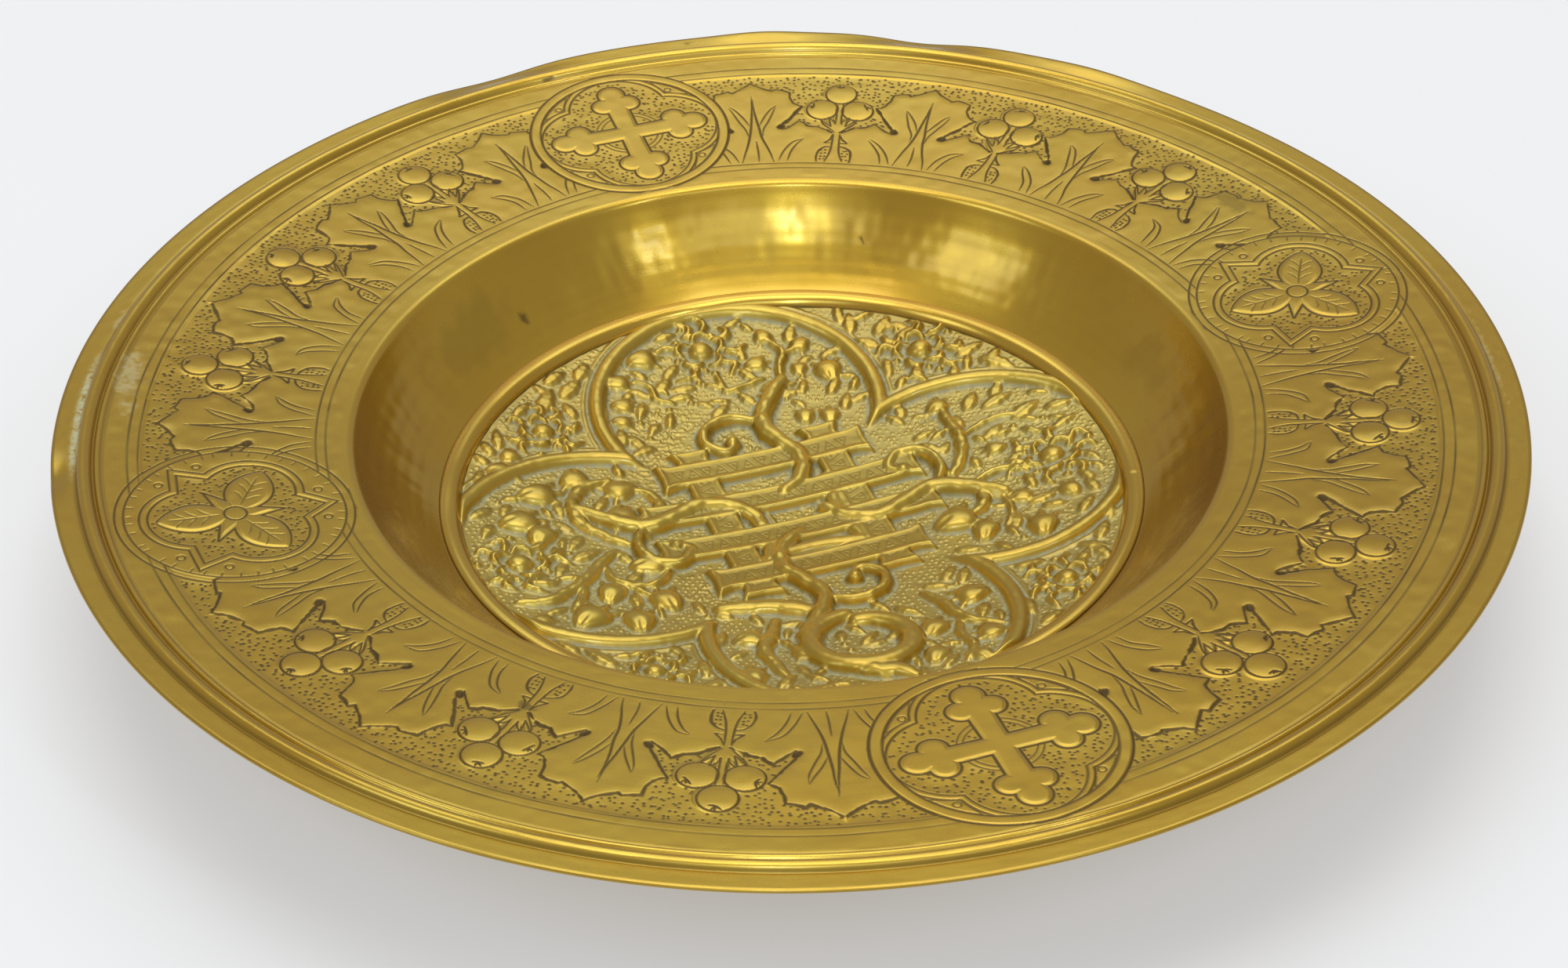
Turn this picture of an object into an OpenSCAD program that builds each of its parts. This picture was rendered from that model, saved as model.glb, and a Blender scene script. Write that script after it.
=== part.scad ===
// Church offering plate: a wide spun brass dish with a chased border, and a
// struck medallion held in the bottom of its well by a half-round ring.
// Units are millimetres. The origin is the centre of the underside and +Z is up.

/* [Dish] */
// Overall diameter across the outer lip
dish_d = 406; // [396:1:420]
// Height of the outer edge above the resting plane
edge_h = 51; // [48:0.5:54]
// Thickness of the spun sheet
sheet_t = 1.2; // [1:0.1:1.4]
// Slope of the border, rising outwards, in degrees
border_slope = 6.2; // [5:0.1:7]
// Radius where the border turns down into the well
well_r = 122.4; // [121:0.1:124]
// Radius of the foot of the well's wall
wall_foot_r = 100.3; // [99.5:0.1:101]
// Height of the foot of the well's wall
wall_foot_h = 15.9; // [15:0.1:16.5]
// Radius of the flat floor that the dish rests on
floor_r = 55; // [50:1:60]

/* [Bead] */
// Radius of the low inner roll of the rim moulding
low_roll_r = 190.7; // [190:0.1:191]
// Radius of the tall outer roll of the rim moulding
tall_roll_r = 194.4; // [194:0.1:195]
// Height of the tall roll above the border
tall_roll_h = 2.2; // [1.5:0.1:2.6]

/* [Medallion] */
// Radius of the medallion
medallion_r = 96.2; // [95.8:0.1:96.4]
// Thickness of the medallion's sheet
medallion_t = 1.2; // [1:0.1:1.4]
// Height of the medallion's ground at its centre
medallion_h = 2.8; // [2.6:0.1:3]
// Rise of the dished ground from centre to edge
medallion_rise = 11; // [10.8:0.1:11.2]
// Distance of each lobe's centre from the axis
lobe_offset = 54.5; // [53:0.5:56]
// Radius of the rolls that outline the four lobes
lobe_r = 41; // [40:0.5:42]
// Radius of the rolls' own section
lobe_roll_r = 2.4; // [2:0.1:2.6]
// Width of the trellis bars
bar_w = 9; // [8:0.5:10]
// Height of the trellis bars above the middle of the ground
bar_h = 3.6; // [3:0.1:4]
// Distance between neighbouring upright bars
bar_pitch = 17; // [15:0.5:18]
// Radius of the round fruits in the lobes
fruit_r = 4; // [3:0.1:4.5]

/* [Ring] */
// Inner radius of the half-round ring over the medallion's edge
ring_inner_r = 94.4; // [94:0.1:94.8]
// Bulge of the half-round ring above its chord
ring_bulge = 1.7; // [1.2:0.1:2]

/* [Border relief] */
// Angle of the first roundel
roundel_a = 18.4; // [0:0.1:90]
// Distance of each roundel's centre from the axis
roundel_offset = 156.8; // [156:0.1:158]
// Outer radius of each roundel's rim
roundel_r = 31.8; // [31:0.1:32]
// Distance of each leaf's middle from the axis
leaf_offset = 153; // [152:0.5:154]
// Distance of each berry cluster's middle from the axis
cluster_offset = 156; // [155:0.5:157]
// Angle between a leaf and the berries beside it
leaf_step = 10.06; // [9.8:0.02:10.2]
// Radius of each berry
berry_r = 4.9; // [4.5:0.1:5.2]
// Height of the chased relief
relief_h = 0.7; // [0.5:0.1:0.9]

/* [Hidden] */

rim_r = dish_d / 2;
slope = tan(border_slope);
gap = 0.02;                  // clearance between faces that follow the same curve
round_fn = 96;               // facets asked of true round shapes
relief_root = 0.4;           // how deep each raised shape is rooted in the sheet
roundel_rim_w = 3;
solder_w = 0.9;              // width of the solder fillet outside the medallion's edge
ring_ledge_w = 0.8;          // width of the ring's flat face that rests on the medallion's edge
back_margin = 4.2;           // how far inside its edge the medallion's back stops following the face
seat_w = 1.6;                // width of the medallion's seat on the bowl

// Height of the border's upper face at radius r
function border_z(r) = edge_h + (r - rim_r) * slope;

// Point i of n along an arc from a to b whose tangent turns by the angle turn
function arc_pt(a, b, turn, t) =
    let (d = b - a,
         chord = norm(d),
         dir = atan2(d[1], d[0]),
         rad = chord / (2 * sin(turn / 2)),
         start = dir - turn / 2,
         centre = a + rad * [-sin(start), cos(start)],
         now = start + turn * t)
    centre + rad * [sin(now), -cos(now)];
function arc(a, b, turn, n) = [for (i = [0:n]) arc_pt(a, b, turn, i / n)];

// Half wave of height h and width w centred on radius c, on the border
function roll(c, w, h, n) =
    [for (i = [0:n]) let (r = c - w / 2 + w * i / n) [r, border_z(r) + h * sin(180 * i / n)]];

// Points shifted sideways by d, to the right of the way they run
function shifted(p, d) =
    [for (i = [0:len(p) - 1])
        let (a = p[max(i - 1, 0)], b = p[min(i + 1, len(p) - 1)], t = (b - a) / norm(b - a))
        p[i] + d * [t[1], -t[0]]];

floor_z = sheet_t;
wall_foot = [wall_foot_r, wall_foot_h];
foot_turn = 2 * atan2(wall_foot_h - floor_z, wall_foot_r - floor_r);
floor_rad = (wall_foot_r - floor_r) / sin(foot_turn);
wall_top = [well_r - 0.7, border_z(well_r) - 1.4];
wall_turn = 28;
lip_end = [well_r + 1.7, border_z(well_r + 1.7)];
lip_turn = -56;

// Inner height of the lower bowl at radius r, from the floor to the wall's foot
function bowl_z(r) = floor_z + floor_rad - sqrt(pow(floor_rad, 2) - pow(max(r - floor_r, 0), 2));
// Height of the medallion's ground at radius r
function ground_z(r) = medallion_h + medallion_rise * pow(r / medallion_r, 2);

upper_face = concat(
    [[0, floor_z]],
    arc([floor_r, floor_z], wall_foot, foot_turn, 14),
    [for (i = [1:12]) arc_pt(wall_foot, wall_top, wall_turn, i / 12)],
    [for (i = [1:5]) arc_pt(wall_top, lip_end, lip_turn, i / 5)],
    roll(low_roll_r, 1.8, 0.7, 5),
    roll(tall_roll_r, 3.4, tall_roll_h, 10),
    [[tall_roll_r + 2.2, border_z(tall_roll_r + 2.2)], [rim_r - 0.5, edge_h]]);
rounded_edge = [[rim_r - 0.15, edge_h - 0.2], [rim_r, edge_h - sheet_t / 2],
                [rim_r - 0.15, edge_h - sheet_t + 0.2]];
under_all = shifted(upper_face, sheet_t);
// The underside: flat under the floor, and plain behind the rim moulding
under_face = [for (i = [0:len(upper_face) - 1])
    let (r = upper_face[i][0])
    if (r < low_roll_r - 1.7 || r > tall_roll_r + 2.6) i < 2 ? [r, 0] : under_all[i]];

module ring_of(points) {
    rotate_extrude($fn = round_fn) polygon(points);
}

// Places its children on the border at radius r and angle a, tilted to its slope
module on_border(r, a) {
    rotate([0, 0, a]) translate([r, 0, border_z(r)]) rotate([0, -border_slope, 0]) children();
}

// A low flat-topped shape standing on the border
module raised(h) {
    translate([0, 0, -relief_root]) linear_extrude(h + relief_root) children();
}

// Outline of one leaf, its tip towards the rim: half of it, then its mirror image
leaf_half = [[21, 0], [18.5, 2.2], [15, 4.5], [15.5, 9.5], [11.5, 10], [8.5, 13.5],
             [7.5, 10.5], [-1, 9], [-2.5, 13], [-21, 13]];
module leaf_outline() {
    polygon(concat(leaf_half, [for (i = [len(leaf_half) - 1:-1:1]) [leaf_half[i][0], -leaf_half[i][1]]]));
}

module berry() {
    rotate_extrude($fn = 32)
        polygon([[0, -relief_root], [berry_r, -relief_root], [berry_r, 0.2], [berry_r * 0.8, relief_h * 0.8],
                 [berry_r * 0.4, relief_h * 1.3], [0, relief_h * 1.4]]);
}

module berry_cluster() {
    translate([13, 0, 0]) berry();
    for (s = [-1, 1]) translate([4.8, s * 5.4, 0]) berry();
    raised(relief_h) translate([-9, 0]) square([20, 2.6], center = true);
}

module roundel_rim() {
    rotate_extrude($fn = round_fn)
        polygon([[roundel_r - roundel_rim_w, -relief_root], [roundel_r, -relief_root], [roundel_r, 0.3],
                 [roundel_r - 0.7, relief_h], [roundel_r - roundel_rim_w + 0.7, relief_h],
                 [roundel_r - roundel_rim_w, 0.3]]);
}

// Cross with three round buds at the end of each arm
module budded_cross() {
    raised(relief_h) {
        square([34, 6.4], center = true);
        square([6.4, 34], center = true);
        for (a = [0:90:270]) rotate(a) {
            translate([22, 0]) circle(4);
            for (s = [-1, 1]) translate([17.5, s * 3.4]) circle(4);
        }
    }
}

// Flower with three broad pointed petals, the first at angle first, a sepal between each two of
// them and a round boss
module trefoil_flower(first) {
    petal_foot = [2, 0];
    petal_tip = [21, 0];
    petal_turn = 106;
    sepal_tip = [14, 0];
    sepal_turn = 60;
    boss_r = 3.4;
    raised(relief_h) {
        for (a = [first, first + 120, first + 240]) {
            rotate(a) polygon(concat(arc(petal_foot, petal_tip, petal_turn, 8),
                                     arc(petal_tip, petal_foot, petal_turn, 8)));
            rotate(a + 60) polygon(concat(arc(petal_foot, sepal_tip, sepal_turn, 6),
                                          arc(sepal_tip, petal_foot, sepal_turn, 6)));
        }
        circle(boss_r, $fn = 32);
    }
}

module border_relief() {
    for (q = [0:3]) {
        on_border(roundel_offset, roundel_a + 90 * q) {
            roundel_rim();
            if (q % 2 == 0) trefoil_flower(q == 0 ? 60 : 0);
            else budded_cross();
        }
        for (k = [-3:2:3]) on_border(leaf_offset, roundel_a + 45 + 90 * q + k * leaf_step)
            raised(relief_h) leaf_outline();
        for (k = [-2:2:2]) on_border(cluster_offset, roundel_a + 45 + 90 * q + k * leaf_step)
            berry_cluster();
    }
}

module dish_body() {
    color("#b8923a") {
        ring_of(concat(upper_face, rounded_edge, [for (i = [len(under_face) - 1:-1:0]) under_face[i]]));
        border_relief();
    }
}

// Places its children in a lobe's own frame, at the ground's height there
module in_lobe(q) {
    rotate([0, 0, roundel_a + 90 * q]) translate([lobe_offset, 0, ground_z(lobe_offset)])
        rotate([0, -atan(2 * medallion_rise * lobe_offset / pow(medallion_r, 2)), 0]) children();
}

// Half the angle that each lobe's roll runs through, from its tip to a cusp
cusp_d = lobe_offset / sqrt(2) + sqrt(pow(lobe_r, 2) - pow(lobe_offset, 2) / 2);
cusp_a = 180 - acos((pow(lobe_offset, 2) + pow(lobe_r, 2) - pow(cusp_d, 2)) / (2 * lobe_offset * lobe_r));

module lobe_roll() {
    span = 180 - cusp_a;
    rotate([0, 0, span]) rotate_extrude(angle = 360 - 2 * span, $fn = round_fn)
        translate([lobe_r, 0]) intersection() {
            translate([0, 0.6]) circle(lobe_roll_r, $fn = 24);
            translate([-5, -1.4]) square([10, 6]);
        }
}

// One bar of the trellis that stands on the medallion's ground
module trellis_bar(length, width, height) {
    translate([-length / 2, -width / 2, -2]) cube([length, width, height + 2]);
}

module trellis() {
    outer_bar = 64;
    inner_bar = 84;
    rail = 72;
    for (k = [-1.5:1:1.5]) translate([0, k * bar_pitch, medallion_h])
        trellis_bar(abs(k) > 1 ? outer_bar : inner_bar, bar_w, bar_h);
    for (s = [-20, 20]) translate([s, 0, medallion_h]) rotate([0, 0, 90])
        trellis_bar(rail, bar_w - 2, bar_h - 0.6);
}

// Round fruits, three in each lobe
module fruits() {
    fruit_d = 66;
    for (q = [0:3]) for (k = [-20, 0, 20]) rotate([0, 0, roundel_a + 90 * q + k])
        translate([fruit_d, 0, ground_z(fruit_d)]) sphere(fruit_r, $fn = 24);
}

module medallion() {
    face = [for (i = [0:24]) let (r = medallion_r * i / 24) [r, ground_z(r)]];
    back_r = medallion_r - back_margin;
    seat_r = medallion_r - seat_w;
    back = [for (i = [0:22]) let (r = back_r * i / 22) [r, ground_z(r) - medallion_t]];
    seat = [for (i = [0:3]) let (r = seat_r + seat_w * i / 3) [r, bowl_z(r) + gap]];
    under_ring = ring_inner_r - 0.1;
    color("#b39a4a") intersection() {
        union() {
            ring_of(concat(back, seat, [for (i = [24:-1:0]) face[i]]));
            for (q = [0:3]) in_lobe(q) lobe_roll();
            rotate([0, 0, roundel_a]) trellis();
            fruits();
        }
        ring_of(concat(back, seat, [[medallion_r, ground_z(medallion_r)],
            [under_ring, ground_z(under_ring) + gap], [under_ring, edge_h], [0, edge_h]]));
    }
}

ring_outer_z = bowl_z(wall_foot_r) + 0.1;
module medallion_ring() {
    shelf_z = ground_z(medallion_r) + gap;
    ledge_r = medallion_r + ring_ledge_w;
    bed_r = ledge_r + 0.6;
    bed = [for (i = [0:4]) let (r = bed_r + (wall_foot_r - bed_r) * i / 4) [r, bowl_z(r) + gap]];
    crown = arc([wall_foot_r, ring_outer_z], [ring_inner_r, ground_z(ring_inner_r) + 0.05],
                4 * atan(2 * ring_bulge / 6), 10);
    color("#bb9638") ring_of(concat([[medallion_r, shelf_z]], [[ledge_r, shelf_z]], bed, crown));
}

module ring_solder() {
    top_z = ground_z(medallion_r);
    foot_r = medallion_r + solder_w;
    color("#8f8c80")
        ring_of([[medallion_r + gap, bowl_z(medallion_r) + 2 * gap], [foot_r, bowl_z(foot_r) + 2 * gap],
                 [foot_r - 0.2, top_z], [medallion_r + gap, top_z]]);
}

dish_body();
medallion();
medallion_ring();
ring_solder();
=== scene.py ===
"""A chased brass alms dish: dense meshes and worn brass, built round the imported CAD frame."""

import math

import bpy
import numpy as np
from mathutils import Matrix, Vector


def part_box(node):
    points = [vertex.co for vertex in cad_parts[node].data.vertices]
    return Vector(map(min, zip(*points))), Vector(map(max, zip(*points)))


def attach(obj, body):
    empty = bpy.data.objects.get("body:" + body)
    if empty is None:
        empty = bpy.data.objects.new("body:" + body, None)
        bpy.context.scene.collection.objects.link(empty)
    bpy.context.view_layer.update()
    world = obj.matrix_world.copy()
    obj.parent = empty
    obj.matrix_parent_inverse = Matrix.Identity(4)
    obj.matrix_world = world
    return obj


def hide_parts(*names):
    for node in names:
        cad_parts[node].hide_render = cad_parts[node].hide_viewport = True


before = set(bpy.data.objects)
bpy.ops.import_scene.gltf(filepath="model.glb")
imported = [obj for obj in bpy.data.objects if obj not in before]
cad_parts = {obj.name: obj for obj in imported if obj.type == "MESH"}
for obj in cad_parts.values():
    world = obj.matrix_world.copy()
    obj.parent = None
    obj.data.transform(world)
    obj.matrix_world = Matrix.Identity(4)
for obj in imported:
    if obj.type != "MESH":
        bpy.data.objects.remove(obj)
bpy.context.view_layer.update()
rng = np.random.default_rng(1886)

# ---------------------------------------------------------------- sizes, in millimetres
MM = 0.001
SHEET_T = 1.2
EDGE_H = 51.0
SLOPE = math.tan(math.radians(6.2))
RIM_R = max(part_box("dish_body")[1].xy) / MM
RING_R = max(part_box("medallion_ring")[1].xy) / MM
MED_R = max(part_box("medallion")[1].xy) / MM
WELL_R = 122.4
WALL_FOOT = (RING_R, 15.9)
FLOOR_R = 55.0
MED_EDGE_R = 96.2
MED_HALF = 97.0
MED_H = 2.8
MED_RISE = 11.0
RING_IN_R = 94.4
RING_BULGE = 1.7

QUARTER = 90.0
ROUNDEL_A = 18.4
ROUNDEL_D = 156.8
ROUNDEL_R = 31.7
STEP_A = 10.06
OUTER_LINES = (182.9, 180.0)
INNER_LINES = (132.2, 129.6)
ORNAMENT = (124.9, 189.1)

FINE = 4096
FINE_STEP = 0.25
SMOOTH = 1024
PLAIN = 256
MED_COLUMNS = 2048
MED_STEP = 0.28
MED_CELL = 0.2


# ---------------------------------------------------------------- small tools
def border_z(r):
    """Height of the plain, slightly rising border."""
    return EDGE_H + (r - RIM_R) * SLOPE


def med_z(r):
    """Height of the medallion's dished ground."""
    return MED_H + MED_RISE * (r / MED_EDGE_R) ** 2


def rise(x, lo, hi):
    """0 below lo, 1 above hi and smooth between them."""
    t = np.clip((x - lo) / (hi - lo), 0, 1)
    return t * t * (3 - 2 * t)


def noise(x, y, size, seed):
    """Smooth random bumps between -1 and 1, about size across."""
    cells = 64
    grid = np.random.default_rng(seed).uniform(-1, 1, (cells, cells))
    u, v = x / size, y / size
    i, j = np.floor(u).astype(int), np.floor(v).astype(int)
    f, g = u - i, v - j
    f, g = f * f * (3 - 2 * f), g * g * (3 - 2 * g)
    i0, i1, j0, j1 = i % cells, (i + 1) % cells, j % cells, (j + 1) % cells
    low = grid[i0, j0] * (1 - f) + grid[i1, j0] * f
    high = grid[i0, j1] * (1 - f) + grid[i1, j1] * f
    return low * (1 - g) + high * g


def cloud(x, y, size, seed):
    """Two sizes of noise together."""
    return (noise(x, y, size, seed) * 2 + noise(x, y, size / 2.3, seed + 1)) / 3


def arc(a, b, turn, n):
    """n + 1 points from a to b on an arc whose direction turns by turn degrees."""
    a, b = np.array(a, float), np.array(b, float)
    chord = b - a
    turn = math.radians(turn)
    start = math.atan2(chord[1], chord[0]) - turn / 2
    radius = np.hypot(*chord) / (2 * math.sin(turn / 2))
    centre = a + radius * np.array([-math.sin(start), math.cos(start)])
    now = start + turn * np.linspace(0, 1, n + 1)
    return np.stack([centre[0] + radius * np.sin(now), centre[1] - radius * np.cos(now)], 1)


def curve(points, per_span=6):
    """A smooth curve through the points (Catmull-Rom)."""
    p = np.array(points, float)
    if len(p) < 3:
        return p
    p = np.vstack([2 * p[0] - p[1], p, 2 * p[-1] - p[-2]])
    t = np.linspace(0, 1, per_span, endpoint=False)[:, None]
    spans = []
    for a, b, c, d in zip(p, p[1:], p[2:], p[3:]):
        spans.append(0.5 * (2 * b + (c - a) * t + (2 * a - 5 * b + 4 * c - d) * t ** 2
                            + (3 * b - a - 3 * c + d) * t ** 3))
    return np.vstack(spans + [p[-2:-1]])


def line_distance(x, y, pts):
    """Distance to a polyline, and how far along it (0 to 1) its nearest place is."""
    best = np.full(x.shape, 1e9)
    along = np.zeros(x.shape)
    spans = np.diff(pts, axis=0)
    lengths = np.maximum(np.hypot(spans[:, 0], spans[:, 1]), 1e-9)
    total, done = lengths.sum(), 0.0
    for a, d, length in zip(pts[:-1], spans, lengths):
        px, py = x - a[0], y - a[1]
        t = np.clip((px * d[0] + py * d[1]) / length ** 2, 0, 1)
        dist = np.hypot(px - t * d[0], py - t * d[1])
        closer = dist < best
        best = np.where(closer, dist, best)
        along = np.where(closer, (done + t * length) / total, along)
        done += length
    return best, along


def inside(x, y, pts):
    """Distance to a closed outline: positive inside it and negative outside."""
    closed = np.vstack([pts, pts[:1]])
    dist, _ = line_distance(x, y, closed)
    within = np.zeros(x.shape, bool)
    for (x0, y0), (x1, y1) in zip(closed[:-1], closed[1:]):
        if y0 != y1:
            crosses = (y0 > y) != (y1 > y)
            within ^= crosses & (x < (x1 - x0) * (y - y0) / (y1 - y0) + x0)
    return np.where(within, dist, -dist)


def placed(points, centre, turn):
    """Points given as (outward, sideways) from a centre, turned by turn degrees."""
    p = np.array(points, float)
    c, s = math.cos(math.radians(turn)), math.sin(math.radians(turn))
    return np.stack([centre[0] + p[:, 0] * c - p[:, 1] * s, centre[1] + p[:, 0] * s + p[:, 1] * c], 1)


def bent(points, axis):
    """Points given as (radius, distance round the border from an axis). The axis is an angle in degrees."""
    p = np.array(points, float)
    a = math.radians(axis) + p[:, 1] / p[:, 0]
    return np.stack([p[:, 0] * np.cos(a), p[:, 0] * np.sin(a)], 1)


# ---------------------------------------------------------------- sheets that are chased or struck
class Sheet:
    """Heights in millimetres over a grid of places, with the grime and residue that lie on them."""

    def __init__(self, x, y):
        self.x, self.y = x, y
        self.relief = np.zeros(x.shape)
        self.cut = np.zeros(x.shape)
        self.grime = np.zeros(x.shape)
        self.residue = np.zeros(x.shape)
        self.ground = np.full(x.shape, -1e3)

    def height(self):
        return self.relief - self.cut

    def chase(self, pts, width=0.5, depth=0.2, grime=0.9, ends=0.35, ragged=0.0):
        """A line driven with a tracing punch: a groove that thins towards its ends."""
        w = self.near(pts, 1.6)
        x, y = self.x[w], self.y[w]
        d, t = line_distance(x, y, pts)
        thin = ends + (1 - ends) * np.sqrt(np.sin(np.pi * np.clip(t, 0.02, 0.98)))
        if ragged:
            thin = thin * (1 + ragged * noise(x, y, 1.1, 5) + ragged * noise(x, y, 2.9, 6))
        half = width / 2 * np.maximum(thin, 0.1)
        groove = 1 - rise(d, half * 0.3, half * 1.5)
        stain = 1 - rise(d, half * 0.75, half * 1.6)
        self.cut[w] = np.maximum(self.cut[w], 0.6 * depth * groove * np.minimum(thin + 0.3, 1.2))
        self.grime[w] = np.maximum(self.grime[w], grime * stain * np.minimum(thin + 0.35, 1))

    def pit(self, centre, radius, depth, grime):
        """A dot driven with a punch."""
        w = self.near([centre], radius * 2)
        d = np.hypot(self.x[w] - centre[0], self.y[w] - centre[1])
        self.cut[w] = np.maximum(self.cut[w], 0.6 * depth * (1 - rise(d, radius * 0.3, radius * 1.3)))
        self.grime[w] = np.maximum(self.grime[w], grime * (1 - rise(d, radius * 0.7, radius * 1.35)))

    def dome(self, centre, radius, height, power=0.5):
        """A round swelling."""
        w = self.near([centre], radius)
        d = np.hypot(self.x[w] - centre[0], self.y[w] - centre[1]) / radius
        swelling = np.where(d < 1, height * np.clip(1 - d * d, 0, 1) ** power, -1e3)
        self.relief[w] = np.maximum(self.relief[w], swelling)

    def tube(self, pts, width, height, ends=1.0, knobs=0.0):
        """A rounded rib along a line, width across its middle. It sinks to the ground beyond its ends."""
        w = self.near(pts, width)
        x, y = self.x[w], self.y[w]
        d, t = line_distance(x, y, pts)
        size = ends + (1 - ends) * np.sin(np.pi * np.clip(t, 0, 1)) ** 0.6
        if knobs:
            lumps = knobs * noise(x, y, width * 0.8, 11)
            size = size * (1 + lumps + knobs * noise(x, y, width * 0.35, 12))
        u = d / (width / 2 * size)
        rib = np.sqrt(np.clip(1 - u * u, 0, 1))
        body = np.where(u < 1, height * size * rib, -1e3)
        under = body <= self.relief[w]
        self.cut[w] *= under
        self.grime[w] *= under
        self.relief[w] = np.maximum(self.relief[w], body)


class PolarSheet(Sheet):
    """A sheet laid out in rings, each with the same number of columns."""

    def __init__(self, inner, outer, step, columns):
        """Rings from inner[0] to outer[1], close together between inner[1] and outer[0]."""
        before = np.arange(inner[0], inner[1] - 0.3, 0.7)
        beyond = np.arange(outer[0], outer[1] + 0.1, 0.7)
        self.r = np.concatenate([before, np.arange(inner[1], outer[0], step), beyond])
        self.columns = columns
        a = np.arange(columns) * 2 * np.pi / columns
        super().__init__(np.outer(self.r, np.cos(a)), np.outer(self.r, np.sin(a)))

    def near(self, pts, margin):
        pts = np.atleast_2d(pts)
        rad = np.hypot(pts[:, 0], pts[:, 1])
        mid = math.atan2(pts[:, 1].mean(), pts[:, 0].mean())
        turn = np.angle(np.exp(1j * (np.arctan2(pts[:, 1], pts[:, 0]) - mid)))
        lo, hi = np.searchsorted(self.r, [rad.min() - margin, rad.max() + margin])
        spread = margin / (rad.min() - margin)
        per_turn = self.columns / (2 * np.pi)
        first = math.floor((mid + turn.min() - spread) * per_turn)
        last = math.ceil((mid + turn.max() + spread) * per_turn)
        return np.ix_(np.arange(lo, hi), np.arange(first, last + 1) % self.columns)


class SquareSheet(Sheet):
    """A square sheet centred on the axis."""

    def __init__(self, half, cell):
        n = int(round(2 * half / cell)) + 1
        self.half, self.cell, self.n = half, 2 * half / (n - 1), n
        line = np.linspace(-half, half, n)
        super().__init__(*np.meshgrid(line, line))

    def near(self, pts, margin):
        pts = np.atleast_2d(pts)
        lo = np.floor((pts.min(0) - margin + self.half) / self.cell).astype(int)
        hi = np.ceil((pts.max(0) + margin + self.half) / self.cell).astype(int) + 1
        lo, hi = np.clip(lo, 0, self.n), np.clip(hi, 0, self.n)
        return np.ix_(np.arange(lo[1], hi[1]), np.arange(lo[0], hi[0]))

    def sample(self, field, x, y):
        """The field's value at any places, blended between its cells."""
        u = np.clip((x + self.half) / self.cell, 0, self.n - 1.001)
        v = np.clip((y + self.half) / self.cell, 0, self.n - 1.001)
        i, j = u.astype(int), v.astype(int)
        f, g = u - i, v - j
        low = field[j, i] * (1 - f) + field[j, i + 1] * f
        high = field[j + 1, i] * (1 - f) + field[j + 1, i + 1] * f
        return low * (1 - g) + high * g


def blurred(field, width, closed=False):
    """A field blurred twice by a box that many cells wide. A closed field joins up at its sides."""
    k = max(int(width) | 1, 3)
    for _ in range(2):
        for side in (0, 1):
            pad = [(0, 0), (0, 0)]
            pad[side] = (k // 2 + 1, k // 2)
            mode = "wrap" if closed and side == 1 else "edge"
            total = np.cumsum(np.pad(field, pad, mode=mode), axis=side)
            upper = [slice(None)] * 2
            lower = [slice(None)] * 2
            upper[side] = slice(k, None)
            lower[side] = slice(None, -k)
            field = (total[tuple(upper)] - total[tuple(lower)]) / k
    return field


# ---------------------------------------------------------------- the chased border
# Half of the dotted ground between two leaves, as (radius, distance from the berries' axis)
CROWN = [(176.0, 30.9), (173.4, 27.6), (170.7, 23.1), (171.7, 22.0), (171.0, 19.5), (170.3, 17.0),
         (167.0, 16.3), (164.2, 14.9), (163.0, 13.4), (162.6, 12.0)]
TAIL = [(162.6, 12.0), (159.5, 13.7), (156.2, 15.3), (153.2, 17.1), (150.6, 18.3)]
SCALLOP = [(149.4, 17.5), (151.3, 15.4), (154.5, 12.2), (153.2, 10.6), (152.2, 9.2), (151.6, 6.1),
           (149.9, 3.4), (148.6, 1.4)]
BERRIES = [(169.0, 0.3), (160.6, 5.8), (160.4, -5.7)]
BERRY_R = 5.1
GROUND_TOP = 179.3


def jittered(points, amount):
    """Points moved a little at random, as if drawn by hand."""
    return np.array(points, float) + rng.uniform(-amount, amount, (len(points), 2))


def leaf(sheet, axis):
    """The veins and grass blades of one leaf."""
    for s in (-1, 1):
        side = np.array([1, s])
        main = jittered([(133.2, 5.0), (137, 4.1), (141.5, 3.0), (146, 2.0), (151, 1.3), (157, 0.7),
                         (162, 0.35), (167.4 + 0.8 * s, 0.1)], 0.2) * side
        sheet.chase(bent(curve(main), axis), 0.62, 0.2, 0.9, ends=0.25)
        tip = jittered([(163.0, 7.4)], 0.6)[0]
        upper = [tip, (160.4, 5.4), (156.4, 3.2), (152.4, 1.5)]
        lower = [tip + (-0.5, 0.1), (159.2, 6.5), (154.6, 4.6), (150.6, 2.9), (146.6, 2.3)]
        for edge in (upper, lower):
            sheet.chase(bent(curve(jittered(edge, 0.15) * side), axis), 0.52, 0.18, 0.85, ends=0.2)
        blade = jittered([(145.2, 15.4)], 0.7)[0]
        near_side = [blade, (143.4, 11.6), (138.9, 8.4), (133.6, 6.3)]
        far_side = [blade + (-0.4, 0.1), (142.0, 12.8), (138.2, 10.4), (133.6, 9.0)]
        for edge in (near_side, far_side):
            sheet.chase(bent(curve(jittered(edge, 0.22) * side), axis), 0.52, 0.18, 0.88, ends=0.2)
    middle = jittered([(144.0, 0.1), (138, -0.1), (133.6, -0.2)], 0.25)
    sheet.chase(bent(curve(middle), axis), 0.5, 0.18, 0.8, ends=0.3)


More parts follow.
